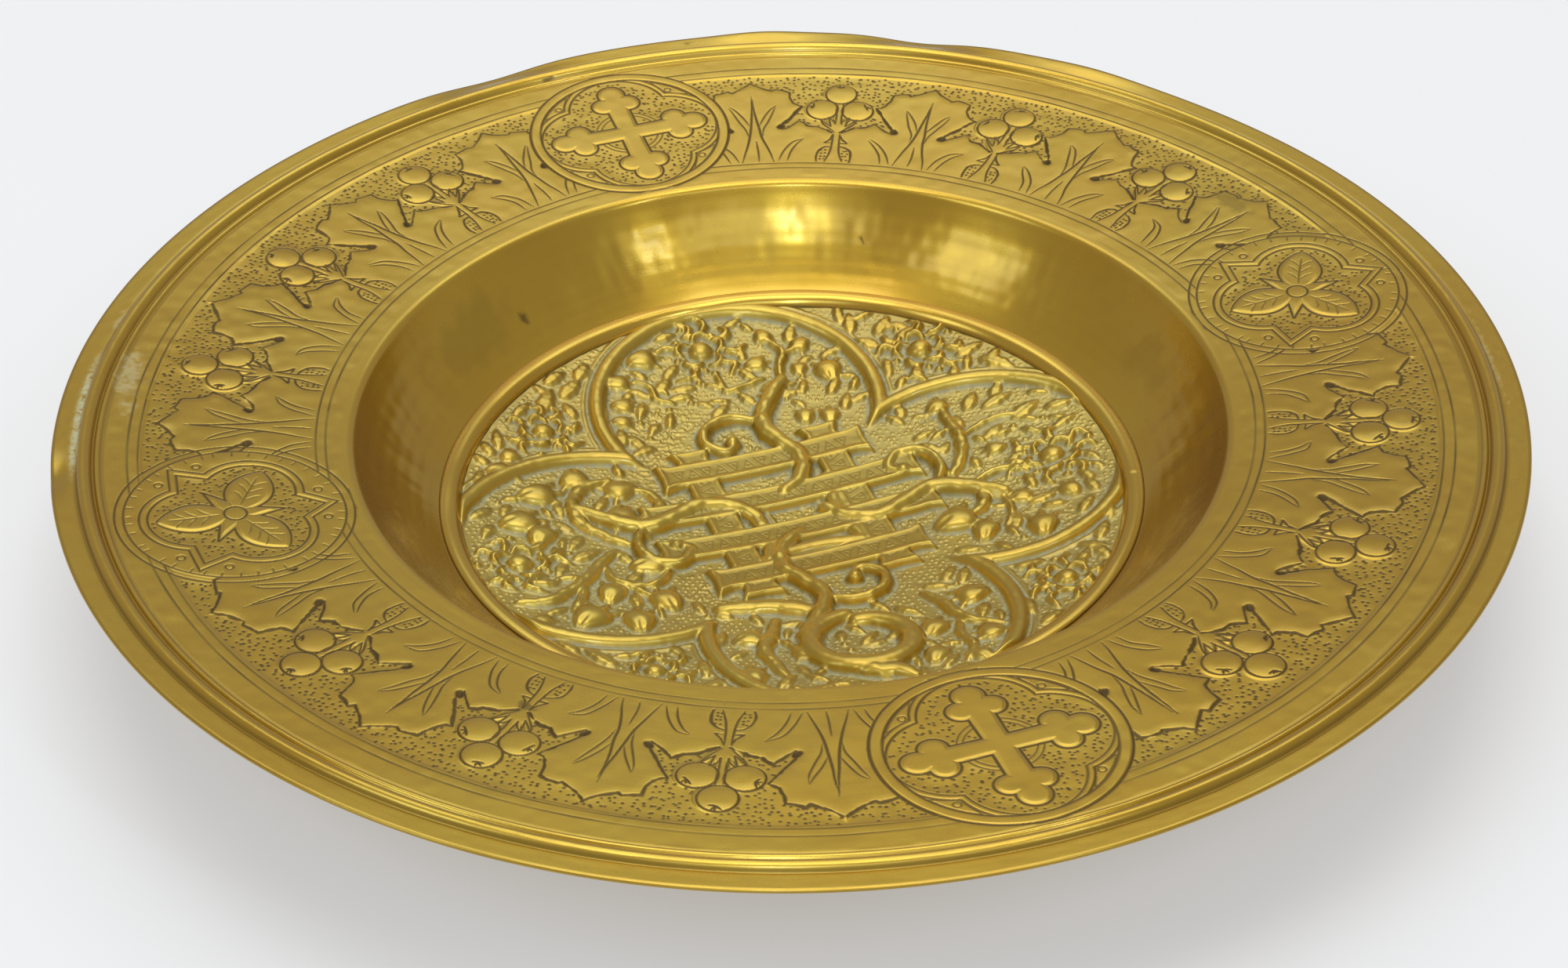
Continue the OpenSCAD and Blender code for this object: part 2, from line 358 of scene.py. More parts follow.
def ground_panel(sheet, axis, with_berries):
    """The dotted ground between two leaves, with the dark outlines of the leaves round it."""
    outline = []
    for s in (1, -1):
        wave = jittered(CROWN, 0.28)
        wave[0, 1] = CROWN[0][1]
        wave[-1] = CROWN[-1]
        tail = jittered(TAIL, 0.18)
        tail[0] = CROWN[-1]
        tail[-1] += rng.uniform(-0.6, 0.6, 2)
        scallop = jittered(SCALLOP, 0.25)
        scallop[0] = tail[-1] + (-1.1, -0.7)
        scallop[-1] = SCALLOP[-1]
        side = np.array([1, s])
        sheet.chase(bent(wave * side, axis), 0.72, 0.24, 0.9, ends=0.8, ragged=0.35)
        sheet.chase(bent(curve(tail * side), axis), 0.75, 0.26, 0.95, ends=0.9, ragged=0.4)
        sheet.chase(bent(curve(scallop[:3] * side), axis), 0.6, 0.22, 0.9, ends=0.7, ragged=0.4)
        sheet.chase(bent(scallop[2:] * side, axis), 0.85, 0.3, 0.95, ends=0.7, ragged=0.45)
        drop = bent([tail[-1] * side, (tail[-1] + (0.8, -0.5)) * side], axis)
        sheet.chase(drop, 1.8, 0.5, 1.0, ends=1.0)
        top = [(GROUND_TOP, 10.0), (GROUND_TOP, 20.0), (GROUND_TOP, 33.2)]
        half = [(r, t * s) for r, t in top + list(wave) + list(curve(tail, 3)) + list(scallop)]
        outline = outline + half if s == 1 else outline + half[::-1]
    pts = bent(outline, axis)
    w = sheet.near(pts, 1.0)
    x, y = sheet.x[w], sheet.y[w]
    free = inside(x, y, pts)
    if with_berries:
        for r, t in BERRIES:
            c = bent([(r, t)], axis)[0]
            free = np.minimum(free, np.hypot(x - c[0], y - c[1]) - BERRY_R)
        stalk, _ = line_distance(x, y, bent([(148.6, 0), (164, 0)], axis))
        free = np.minimum(free, stalk - 1.1)
        for s in (-1, 1):
            prong, along = line_distance(x, y, bent([(149.4, 0.8 * s), (155.4, 5.2 * s)], axis))
            free = np.minimum(free, prong - 1.2 + 0.8 * along)
            prong, along = line_distance(x, y, bent([(149.8, 0.5 * s), (156.0, 2.6 * s)], axis))
            free = np.minimum(free, prong - 1.1 + 0.8 * along)
    sheet.ground[w] = np.maximum(sheet.ground[w], free)


def berry(sheet, centre, turn):
    """A round berry in outline, a little domed, with a star where its flower was."""
    sheet.dome(centre, BERRY_R, 0.22, 1.0)
    sheet.chase(placed(ring_points(BERRY_R, 40), centre, turn), 0.5, 0.24, 0.92, ends=0.9, ragged=0.12)
    for spoke in rng.permutation([-75, -35, 5, 45, 85])[:4]:
        a = math.radians(spoke + rng.uniform(-10, 10))
        reach = rng.uniform(1.2, 2.1)
        end = (2.9 + reach * math.cos(a), 0.2 + reach * math.sin(a))
        sheet.chase(placed([(3.1, 0.2), end], centre, turn), 0.5, 0.2, 0.95, ends=0.6)


def berry_stem(sheet, axis):
    """The trident under the berries, the thorned stem below its neck and the two dotted capsules."""
    for s in (-1, 1):
        side = np.array([1, s])
        for line in ([(148.7, 0.9), (150.6, 2.6), (153.3, 4.8), (155.6, 5.9)],
                     [(155.6, 5.9), (153.4, 3.9), (151.7, 2.3)],
                     [(151.7, 2.3), (154.0, 2.8), (156.4, 3.3)],
                     [(156.4, 3.3), (154.6, 1.5), (152.9, 1.0)],
                     [(152.9, 1.0), (157, 0.9), (160, 1.0), (163.6, 0.9)]):
            sheet.chase(bent(curve(jittered(line, 0.12) * side), axis), 0.5, 0.2, 0.88, ends=0.5)
        stem = jittered([(147.8, 0.9), (142.6, 1.1), (138, 1.5), (133.3, 2.7)], 0.15)
        sheet.chase(bent(curve(stem * side), axis), 0.5, 0.2, 0.9, ends=0.5)
        thorn = jittered([(147.4, 1.0), (144.9, 1.8), (143.0, 3.6), (143.1, 1.3)], 0.15)
        sheet.chase(bent(thorn * side, axis), 0.52, 0.22, 0.92, ends=0.7, ragged=0.2)
        shell = jittered([(141.2, 1.4), (140.7, 3.3), (138.8, 5.0), (135.8, 5.5), (133.2, 5.1)], 0.15)
        sheet.chase(bent(curve(shell * side), axis), 0.58, 0.22, 0.9, ends=0.7, ragged=0.2)
        for r in np.arange(134.4, 140.2, 1.5):
            for t in (2.8, 4.0):
                spot = bent([(r + rng.uniform(-0.3, 0.3), s * (t + rng.uniform(-0.25, 0.25)))], axis)[0]
                sheet.pit(spot, rng.uniform(0.34, 0.42), 0.16, 0.95)
    for (r, t), turn in zip(BERRIES, (0, 62, -62)):
        berry(sheet, bent([(r, t)], axis)[0], axis + turn + rng.uniform(-14, 14))


def dots(sheet, spacing=1.95):
    """Punched dots over the sunk ground, unevenly placed by hand."""
    rows = np.arange(124, 190, spacing * 0.87)
    for i, r in enumerate(rows):
        count = int(2 * np.pi * r / spacing)
        for k in range(count):
            a = (k + 0.5 * (i % 2)) * 2 * np.pi / count + rng.uniform(-0.45, 0.45) * spacing / r
            d = r + rng.uniform(-0.42, 0.42) * spacing
            row = np.searchsorted(sheet.r, d)
            if not 0 < row < len(sheet.r):
                continue
            column = int(round(a / (2 * np.pi) * sheet.columns)) % sheet.columns
            if sheet.ground[row, column] > 0.62 and rng.random() > 0.04:
                size = rng.uniform(0.36, 0.47)
                sheet.pit((d * math.cos(a), d * math.sin(a)), size, 0.16, rng.uniform(0.8, 1.0))


def roundel_frame(sheet, turn):
    """Window, local places and distance from the centre of one roundel."""
    centre = (ROUNDEL_D * math.cos(math.radians(turn)), ROUNDEL_D * math.sin(math.radians(turn)))
    w = sheet.near(placed([(-33, 0), (33, 0), (0, -33), (0, 33)], centre, turn), 1.0)
    c, s = math.cos(math.radians(turn)), math.sin(math.radians(turn))
    dx, dy = sheet.x[w] - centre[0], sheet.y[w] - centre[1]
    u, v = dx * c + dy * s, dy * c - dx * s
    return centre, w, u, v, np.hypot(u, v)


def facing(u, v, a):
    """Places as (along, aside) of the direction at angle a."""
    return u * math.cos(a) + v * math.sin(a), v * math.cos(a) - u * math.sin(a)


def wipe(sheet, w, keep):
    """Fades out what is chased so far wherever keep is below 1."""
    for field in (sheet.relief, sheet.cut, sheet.grime):
        field[w] *= keep


def ring_points(radius, n=72):
    return [(radius * math.cos(a), radius * math.sin(a)) for a in np.linspace(0, 2 * np.pi, n + 1)]


def edge_line(sheet, w, sd, width=0.5, depth=0.2, grime=0.9):
    """A dark groove along the zero of a signed distance."""
    d = np.abs(sd)
    sheet.cut[w] = np.maximum(sheet.cut[w], 0.6 * depth * (1 - rise(d, width * 0.15, width * 0.75)))
    sheet.grime[w] = np.maximum(sheet.grime[w], grime * (1 - rise(d, width * 0.38, width * 0.8)))


def cross_roundel(sheet, turn):
    """A budded cross over a thin annulet, on a dotted quatrefoil in a raised rim."""
    centre, w, u, v, rho = roundel_frame(sheet, turn)
    wipe(sheet, w, rise(rho, ROUNDEL_R - 0.3, ROUNDEL_R + 0.3))
    sheet.ground[w] = np.where(rho < ROUNDEL_R + 0.4, -1e3, sheet.ground[w])
    lobes = np.max([15.8 - np.hypot(u - 12.5 * math.cos(a), v - 12.5 * math.sin(a))
                    for a in np.arange(4) * np.pi / 2], axis=0)
    field = np.minimum(lobes, 28.4 - rho)
    arms = np.maximum(np.minimum(3.4 + 0.02 * np.abs(u) - np.abs(v), 20 - np.abs(u)),
                      np.minimum(3.4 + 0.02 * np.abs(v) - np.abs(u), 20 - np.abs(v)))
    for a in np.arange(4) * np.pi / 2:
        along, aside = facing(u, v, a)
        arms = np.maximum(arms, 4.5 - np.hypot(along - 21.2, aside))
        for s in (-1, 1):
            arms = np.maximum(arms, 4.0 - np.hypot(along - 15.8, aside - 4.0 * s))
    ring = 0.75 - np.abs(rho - 9.8)
    rim = 1.6 - np.abs(rho - 30.0)
    band = 0.95 - np.abs(lobes + 0.95)
    band = np.where(rho < 28.6, band, -9)
    free = np.minimum(field, np.minimum(-arms, -ring))
    height = -0.42 * rise(free, -0.1, 0.7)
    height = np.maximum(height, -0.42 + 0.56 * rise(arms, -0.25, 1.3) * (arms > -0.3))
    annulet = np.maximum(height, -0.42 + 0.4 * rise(ring, -0.2, 0.5))
    height = np.where((ring > -0.2) & (arms < 0), annulet, height)
    height = np.maximum(height, 0.16 * rise(rim, -0.1, 0.6))
    height = np.maximum(height, 0.16 * rise(band, -0.1, 0.6) * (band > -0.1))
    beyond = rise(rho, 31.4, 32.2)
    sheet.relief[w] = height * (1 - beyond) + sheet.relief[w] * beyond
    edge_line(sheet, w, arms, 0.6, 0.24, 0.92)
    edge_line(sheet, w, np.where(arms > 0, 9, ring), 0.42, 0.14, 0.75)
    edge_line(sheet, w, rho - 31.75, 0.6, 0.26, 0.9)
    edge_line(sheet, w, rho - 28.35, 0.55, 0.22, 0.85)
    edge_line(sheet, w, np.where(rho < 28.2, band, 9), 0.5, 0.18, 0.82)
    for a in (45, 135, 225, 315):
        eye = placed([(26.0, 0)], centre, turn + a)[0]
        sheet.chase(placed(ring_points(1.05, 12), eye, 0), 0.34, 0.24, 0.8, ends=1.0)
        side = [(23.9, 0), (25.8, 3.2), (27.1, 7.0), (27.9, 3.0), (28.0, 0)]
        triangle = side + [(x, -y) for x, y in side[-2::-1]]
        sheet.chase(placed(triangle, centre, turn + a), 0.34, 0.22, 0.7, ends=0.9)
    sheet.ground[w] = np.where(rho < 28, free - 0.12, sheet.ground[w])


def trefoil_roundel(sheet, turn, first):
    """A three-petalled flower on a dotted barbed trefoil, inside a rim of two engraved lines."""
    centre, w, u, v, rho = roundel_frame(sheet, turn)
    wipe(sheet, w, rise(rho, ROUNDEL_R - 2.6, ROUNDEL_R - 2.0))
    lobe_a = [math.radians(first + a) for a in (0, 120, 240)]
    barb_a = [a + math.pi / 3 for a in lobe_a]
    shape = np.max([14.6 - np.hypot(u - 10.6 * math.cos(a), v - 10.6 * math.sin(a)) for a in lobe_a], axis=0)
    for a in barb_a:
        along, aside = facing(u, v, a)
        shape = np.maximum(shape, np.minimum((27.6 - along) * 0.62 - np.abs(aside) * 0.85, along - 6))
    band = 1.1 - np.abs(shape - 1.1)
    free = shape - 2.2
    petals = np.full(u.shape, -9.0)
    for a in lobe_a:
        along, aside = facing(u, v, a)
        half = 6.4 * np.sin(np.pi * np.clip((along - 0.5) / 20.5, 0, 1)) ** 0.75
        petals = np.maximum(petals, np.where((along > 0.5) & (along < 21), half - np.abs(aside), -9.0))
    for a in barb_a:
        along, aside = facing(u, v, a)
        half = 2.6 * np.clip((13.5 - along) / 9.0, 0, 1)
        petals = np.maximum(petals, np.where((along > 1) & (along < 13.5), half - np.abs(aside), -9.0))
    petals = np.maximum(petals, 3.6 - rho)
    height = -0.34 * rise(np.minimum(free, -petals), -0.1, 0.7)
    height = np.maximum(height, -0.34 + 0.48 * rise(petals, -0.25, 1.4) * (petals > -0.3))
    height = np.maximum(height, 0.12 * rise(band, -0.1, 0.7) * (band > -0.1))
    sheet.relief[w] = np.where(rho < 29, height, sheet.relief[w])
    dotted = np.where(rho < 28.6, np.minimum(free, -petals) - 0.1, -1e3)
    sheet.ground[w] = np.where(rho < ROUNDEL_R + 0.4, dotted, sheet.ground[w])
    edge_line(sheet, w, np.where(rho < 28.9, shape, 9), 0.5, 0.18, 0.85)
    edge_line(sheet, w, free, 0.5, 0.18, 0.85)
    edge_line(sheet, w, petals, 0.58, 0.22, 0.9)
    edge_line(sheet, w, rho - 31.4, 0.5, 0.2, 0.85)
    edge_line(sheet, w, rho - 29.1, 0.48, 0.18, 0.82)
    for a in lobe_a:
        vein = [(4.4, 0), (10, 0.15), (17.5, 0)]
        sheet.chase(placed(vein, centre, turn + math.degrees(a)), 0.42, 0.24, 0.6, ends=0.3)
        for s in (-1, 1):
            for start in (6.5, 10.0, 13.2):
                rib = [(start, 0.2 * s), (start + 2.2, 2.2 * s), (start + 3.0, 3.6 * s)]
                sheet.chase(placed(rib, centre, turn + math.degrees(a)), 0.36, 0.18, 0.5, ends=0.2)
    sheet.chase(placed(ring_points(3.0, 24), centre, 0), 0.5, 0.2, 0.9, ends=1.0)
    for a in barb_a:
        for s in (-1, 1):
            eye = placed([(24.4, 0)], centre, turn + math.degrees(a) + 15.5 * s)[0]
            sheet.chase(placed(ring_points(1.1, 12), eye, 0), 0.36, 0.26, 0.85, ends=1.0)
    for a in np.arange(0, 360, 9.0):
        tick = placed([(28.7, 0), (26.9, 0.1)], centre, turn + a + rng.uniform(-2, 2))
        mid = tick.mean(0)
        du, dv = facing(mid[0] - centre[0], mid[1] - centre[1], math.radians(turn))
        clear = all(math.hypot(du - 10.6 * math.cos(b), dv - 10.6 * math.sin(b)) > 15.6 for b in lobe_a)
        if clear:
            sheet.chase(tick, 0.36, 0.2, 0.65, ends=0.5)


def engraved_circle(sheet, radius, wobble, seed):
    """A line scribed round the border by hand."""
    a = np.arctan2(sheet.y, sheet.x)
    r = np.hypot(sheet.x, sheet.y)
    path = radius + wobble * noise(a * 9 + 40, a * 0, 1.0, seed)
    force = 0.75 + 0.25 * noise(a * 14 + 90, a * 0, 1.0, seed + 1)
    groove = (1 - rise(np.abs(r - path), 0.14, 0.42)) * force
    sheet.cut = np.maximum(sheet.cut, 0.05 * groove)
    sheet.grime = np.maximum(sheet.grime, 0.85 * groove)


def chased_border():
    """The whole border: scribed circles, sunk grounds, leaves, berries, roundels and dots."""
    sheet = PolarSheet((ORNAMENT[0], 125.6), (188.7, ORNAMENT[1]), FINE_STEP, FINE)
    for seed, radius in enumerate(OUTER_LINES + INNER_LINES):
        engraved_circle(sheet, radius, 0.12, 40 + 3 * seed)
    for q in range(4):
        middle = ROUNDEL_A + QUARTER * q + QUARTER / 2
        for k in (-4, -2, 0, 2, 4):
            ground_panel(sheet, middle + k * STEP_A + rng.uniform(-0.25, 0.25), abs(k) < 4)
    sheet.relief -= 0.2 * rise(sheet.ground, -0.2, 0.6)
    for q in range(4):
        middle = ROUNDEL_A + QUARTER * q + QUARTER / 2
        for k in (-3, -1, 1, 3):
            leaf(sheet, middle + k * STEP_A + rng.uniform(-0.25, 0.25))
        for k in (-2, 0, 2):
            berry_stem(sheet, middle + k * STEP_A)
    trefoil_roundel(sheet, ROUNDEL_A - 0.6, 60)
    cross_roundel(sheet, ROUNDEL_A + 90)
    trefoil_roundel(sheet, ROUNDEL_A + 180.6, 0)
    cross_roundel(sheet, ROUNDEL_A + 269.8)
    dots(sheet)
    sunk = blurred(rise(sheet.ground, -0.2, 0.6), 3.2 / FINE_STEP, closed=True)
    sheet.relief -= 0.2 * sunk + 0.9 * blurred(np.minimum(sheet.cut, 0.16), 2.2 / FINE_STEP, closed=True)
    sheet.relief += 0.06 * cloud(sheet.x, sheet.y, 9.0, 71) + 0.025 * noise(sheet.x, sheet.y, 3.5, 73)
    edge = rise(sheet.r, ORNAMENT[0], ORNAMENT[0] + 1.2) * (1 - rise(sheet.r, ORNAMENT[1] - 1.2, ORNAMENT[1]))
    sheet.relief *= edge[:, None]
    sheet.cut *= edge[:, None]
    return sheet


# ---------------------------------------------------------------- meshes from rings of points
LAYERS = ("grime", "residue", "dull")


class Rings:
    """Rings of points round the axis, one after another, that are skinned into one mesh."""

    def __init__(self):
        self.rings = []

    def add(self, r, z, columns, **layers):
        """One ring. r and z are numbers or one value for each column."""
        a = np.arange(columns) * 2 * np.pi / columns
        r, z = np.broadcast_to(r, columns), np.broadcast_to(z, columns)
        co = np.stack([r * np.cos(a), r * np.sin(a), z], 1)
        self.rings.append((co, {k: np.broadcast_to(v, columns) for k, v in layers.items()}))

    def count(self):
        return sum(len(co) for co, _ in self.rings)

    def mesh(self, name, uv, caps=(None, None)):
        """Skins the rings. A cap is the height of a point on the axis that closes that end."""
        counts = [len(co) for co, _ in self.rings]
        starts = np.concatenate([[0], np.cumsum(counts)])
        quads, tris = [], []
        for i in range(len(counts) - 1):
            na, nb, a0, b0 = counts[i], counts[i + 1], starts[i], starts[i + 1]
            if na == nb:
                j = np.arange(na)
                k = (j + 1) % na
                quads.append(np.stack([a0 + j, b0 + j, b0 + k, a0 + k], 1))
                continue
            coarse, ratio = min(na, nb), max(na, nb) // min(na, nb)
            c = np.arange(coarse)
            c1 = (c + 1) % coarse
            half = ratio // 2
            for m in range(ratio):
                f, f1 = c * ratio + m, (c * ratio + m + 1) % (coarse * ratio)
                corner = c if m < half else c1
                if na < nb:
                    tris.append(np.stack([a0 + corner, b0 + f, b0 + f1], 1))
                else:
                    tris.append(np.stack([a0 + f, b0 + corner, a0 + f1], 1))
            f = c * ratio + half
            if na < nb:
                tris.append(np.stack([a0 + c, b0 + f, a0 + c1], 1))
            else:
                tris.append(np.stack([a0 + f, b0 + c, b0 + c1], 1))
        co = np.vstack([co for co, _ in self.rings])
        layers = {}
        for key in LAYERS:
            layers[key] = np.concatenate([given.get(key, np.zeros(len(c))) for c, given in self.rings])
        for end, z in zip((0, -1), caps):
            if z is None:
                continue
            n, s = counts[end], starts[0] if end == 0 else starts[-2]
            j = np.arange(n)
            k = (j + 1) % n
            tip = np.full(n, len(co))
            fan = [tip, s + j, s + k] if end == 0 else [s + j, tip, s + k]
            tris.append(np.stack(fan, 1))
            co = np.vstack([co, [[0, 0, z]]])
            layers = {key: np.append(v, v[s]) for key, v in layers.items()}
        return mesh_object(name, co, quads, tris, layers, uv)


def mesh_object(name, co, quads, tris, layers, uv):
    """A smooth mesh object in metres from points in millimetres, with its float layers and bake map."""
    quads = np.vstack(quads) if quads else np.zeros((0, 4), int)
    tris = np.vstack(tris) if tris else np.zeros((0, 3), int)
    mesh = bpy.data.meshes.new(name)
    mesh.vertices.add(len(co))
    mesh.vertices.foreach_set("co", (co * MM).astype(np.float32).ravel())
    corners = np.concatenate([quads.ravel(), tris.ravel()]).astype(np.int32)
    mesh.loops.add(len(corners))
    mesh.loops.foreach_set("vertex_index", corners)
    totals = np.concatenate([np.full(len(quads), 4), np.full(len(tris), 3)]).astype(np.int32)
    first = np.concatenate([[0], np.cumsum(totals)[:-1]]).astype(np.int32)
    mesh.polygons.add(len(totals))
    mesh.polygons.foreach_set("loop_start", first)
    mesh.polygons.foreach_set("loop_total", totals)
    mesh.polygons.foreach_set("use_smooth", np.ones(len(totals), bool))
    mesh.update(calc_edges=True)
    for layer, values in layers.items():
        attribute = mesh.attributes.new(layer, "FLOAT", "POINT")
        attribute.data.foreach_set("value", values.astype(np.float32))
    places = uv(co)
    flat = mesh.uv_layers.new(name="OFBake")
    flat.data.foreach_set("uv", places[corners].astype(np.float32).ravel())
    obj = bpy.data.objects.new(name, mesh)
    bpy.context.scene.collection.objects.link(obj)
    return obj


# ---------------------------------------------------------------- the dish
# How the rim has sprung out of flat: (angle, height at the outer edge), smooth between them
RIM_WARP = [(40, -1.7), (85, 1.2), (140, -0.3), (225, 0.7), (310, -1.3), (400, -1.7)]
LIP_DENTS = [(77, -1.9, 4.5), (118, -1.6, 5.0), (60, 0.7, 5.0), (92, 0.8, 4.0), (191, -0.9, 2.0)]


def rim_warp(angle):
    """How far the outer edge has sprung up or down at each angle."""
    angle = np.degrees(angle) % 360
    angle = np.where(angle < RIM_WARP[0][0], angle + 360, angle)
    out = np.zeros(angle.shape)
    for (a0, h0), (a1, h1) in zip(RIM_WARP[:-1], RIM_WARP[1:]):
        t = (angle - a0) / (a1 - a0)
        here = (t >= 0) & (t <= 1)
        out = np.where(here, h0 + (h1 - h0) * (1 - np.cos(np.pi * np.clip(t, 0, 1))) / 2, out)
    return out


# Old marks: (angle, radius, half length across the dish's radius, half length round it, force)
STAINS = ((35.0, 167.5, 3.6, 7.5, 0.34), (243.2, 147.0, 2.2, 3.0, 0.62), (113.6, 192.0, 1.2, 2.2, 0.6),
          (137.0, 110.0, 1.5, 1.8, 0.75), (78.0, 113.0, 0.7, 0.7, 0.8), (99.0, 200.0, 0.9, 1.2, 0.6),
          (20.0, 112.0, 5.0, 14.0, 0.07), (150.0, 112.0, 8.0, 22.0, 0.09))
SMEARS = ((177.0, 186.0, 5.5, 17.0, 0.5), (169.0, 197.4, 1.0, 6.0, 0.5), (2.0, 197.0, 0.7, 22.0, 0.4))


def marked(marks, x, y):
    """How strongly the old marks lie on each place."""
    total = np.zeros(np.shape(x))
    for angle, radius, across, around, force in marks:
        c, s = math.cos(math.radians(angle)), math.sin(math.radians(angle))
        d = np.hypot((x * c + y * s - radius) / across, (y * c - x * s) / around)
        near = d < 1.6
        ragged = 0.4 * noise(x[near], y[near], across * 0.9, 61)
        ragged += 0.2 * noise(x[near], y[near], across * 0.3, 62)
        total[near] = np.maximum(total[near], force * (1 - rise(d[near] + ragged, 0.45, 1.0)))
    return total


def lip_dents(angle):
    """Small dents and lifts of the flat lip at each angle."""
    angle = np.degrees(angle) % 360
    return sum(h * np.exp(-((angle - a) / w) ** 2) for a, h, w in LIP_DENTS)


def bead(r):
    """Height of the rim moulding above the plain border."""
    tall = 1.75 * np.clip(1 - ((r - 194.3) / 2.2) ** 2, 0, 1) ** 0.8
    low = 0.75 * np.sqrt(np.clip(1 - ((r - 190.7) / 0.85) ** 2, 0, 1))
    step = -0.25 * np.exp(-((r - 196.35) / 0.4) ** 2) - 0.15 * np.exp(-((r - 192.1) / 0.4) ** 2)
    return tall + low + step - 0.12 * np.exp(-((r - 189.55) / 0.3) ** 2)


def wall_profile():
    """The wall and its round-over, from the foot to the border, as (r, z)."""
    top = (WELL_R - 0.7, border_z(WELL_R) - 1.4)
    lip = (WELL_R + 1.7, border_z(WELL_R + 1.7))
    return np.vstack([arc(WALL_FOOT, top, 28, 30)[:-1], arc(top, lip, -56, 12)])


def floor_profile():
    """The hidden floor under the medallion, from its middle to the foot of the wall."""
    turn = 2 * math.degrees(math.atan2(WALL_FOOT[1] - SHEET_T, WALL_FOOT[0] - FLOOR_R))
    return np.vstack([[(20, SHEET_T), (40, SHEET_T)], arc((FLOOR_R, SHEET_T), WALL_FOOT, turn, 14)[:-1]])


def offset(profile, distance):
    """A profile moved sideways, to the right of the way it runs."""
    t = np.gradient(profile, axis=0)
    t /= np.hypot(t[:, 0], t[:, 1])[:, None]
    return profile + distance * np.stack([t[:, 1], -t[:, 0]], 1)


def two_discs(split, radius):
    """A bake map with the first split points, the upper face, in a large disc and the rest in a small one."""
    def places(co):
        upper = np.arange(len(co)) < split
        scale = np.where(upper, 0.395, 0.175) / radius
        middle = np.where(upper, 0.4, 0.82)
        return np.stack([middle + co[:, 0] * scale, middle + co[:, 1] * scale], 1)
    return places


def make_dish(sheet):
    """The spun sheet: floor, wall, border with its relief, rim, edge and underside."""
    rings = Rings()

    def warp(angle, r):
        far = np.clip((r - 128.0) / (RIM_R - 128.0), 0, 1)
        return rim_warp(angle) * far ** 1.6 + lip_dents(angle) * rise(r, 196.6, 202.0)

    def spun(columns, r, z, relief=0.0, upper=True, **layers):
        a = np.arange(columns) * 2 * np.pi / columns
        ripple = 0.05 * np.sin(r * 1.9) * rise(r, 101, 106) * (1 - rise(r, 119, 122))
        dent = 0.22 * cloud(a * 16 + 60, np.full(columns, r) * 0.11, 1.0, 31)
        dent = dent * rise(r, 101, 108) * (1 - rise(r, 117, 122))
        x, y = r * np.cos(a), r * np.sin(a)
        if upper:
            layers["grime"] = np.maximum(layers.get("grime", 0), marked(STAINS, x, y))
            layers["residue"] = np.maximum(layers.get("residue", 0), marked(SMEARS, x, y))
        rings.add(r + dent, z + ripple + relief + warp(a, np.full(columns, float(r))), columns, **layers)

    floor = floor_profile()
    for r, z in floor:
        spun(PLAIN, r, z)
    wall = wall_profile()
    for r, z in wall[wall[:, 0] < ORNAMENT[0] - 0.2]:
        spun(SMOOTH, r, z)
    spun(SMOOTH, 124.5, border_z(124.5))
    height = sheet.height()
    for i, r in enumerate(sheet.r):
        spun(FINE, r, border_z(r), height[i], grime=sheet.grime[i], residue=sheet.residue[i])
    for r in np.concatenate([np.arange(189.3, 197.2, 0.22), np.arange(197.6, RIM_R - 0.6, 0.7)]):
        a = np.arange(SMOOTH) * 2 * np.pi / SMOOTH
        turn = np.degrees(a) % 360
        z = border_z(r) + bead(r)
        # The dark layer along the bead's three grooves is painted shade at the junctions of the moulding; the
        # pale strip on the left side is polish residue.
        groove = np.exp(-((r - 196.3) / 0.45) ** 2) + 0.6 * np.exp(-((r - 192.1) / 0.35) ** 2)
        groove += 0.5 * np.exp(-((r - 189.5) / 0.3) ** 2)
        polish = rise(turn, 172, 178) * (1 - rise(turn, 188, 193))
        polish = polish * (noise(a * 150, a * 0 + r, 1.0, 51) > -0.55)
        white = polish * rise(r, 195.4, 196.0) * (1 - rise(r, 197.4, 198.6))
        unevenness = 0.02 * noise(a * 60, a * 0 + r, 1.0, 8)
        spun(SMOOTH, r, z, unevenness, grime=0.35 * groove * (1 - white), residue=white)
    edge = [(RIM_R - 0.35, EDGE_H - 0.05), (RIM_R - 0.1, EDGE_H - 0.3), (RIM_R, EDGE_H - SHEET_T / 2),
            (RIM_R - 0.1, EDGE_H - SHEET_T + 0.3), (RIM_R - 0.35, EDGE_H - SHEET_T + 0.05)]
    for r, z in edge[:3]:
        spun(SMOOTH, r, z, grime=0.1)
    split = rings.count()
    for r, z in edge[3:]:
        spun(SMOOTH, r, z, grime=0.1)
    for r in np.arange(RIM_R - 1.2, 189.5, -0.9):
        spun(SMOOTH, r, border_z(r) - SHEET_T + 0.7 * bead(r), upper=False)
    low = blurred(height, 5)
    for r in np.arange(189.0, 125.5, -0.7):
        row = min(np.searchsorted(sheet.r, r), len(sheet.r) - 1)
        back = low[row][:: FINE // SMOOTH] * 0.55
        spun(SMOOTH, r, border_z(r) - SHEET_T, back, upper=False, grime=0.15)
    under = offset(np.vstack([floor, wall]), SHEET_T)
    for r, z in under[::-1]:
        if r < 124.8:
            spun(SMOOTH if r > 100 else PLAIN, r, max(z, 0.0) if r > 56 else 0.0, upper=False)
    return rings.mesh("dish_sheet", two_discs(split, RIM_R), caps=(SHEET_T, 0.0))


# ---------------------------------------------------------------- the medallion
# The four lobes of the quatrefoil: (angle and distance of the centre, radius)
LOBES = [(107.2, 52.3, 42.3), (14.4, 56.2, 42.8), (202.4, 55.2, 45.0), (288.2, 59.6, 42.5)]
BAR_W = 9.4
BAR_H = 2.5
BAR_PITCH = 17.0
# From the middle of a bar to where its ends begin to flare
OUTER_REACH = 28
INNER_REACH = 38
RAIL_REACH = 32
RAIL_X = 20
TRELLIS_TURN = ROUNDEL_A
ZIGZAG_STEP = 4.2
ZIGZAG_W = 3.8


def lobe_centre(lobe):
    """The middle of a lobe's circle."""
    a, d, _ = lobe
    return np.array([d * math.cos(math.radians(a)), d * math.sin(math.radians(a))])


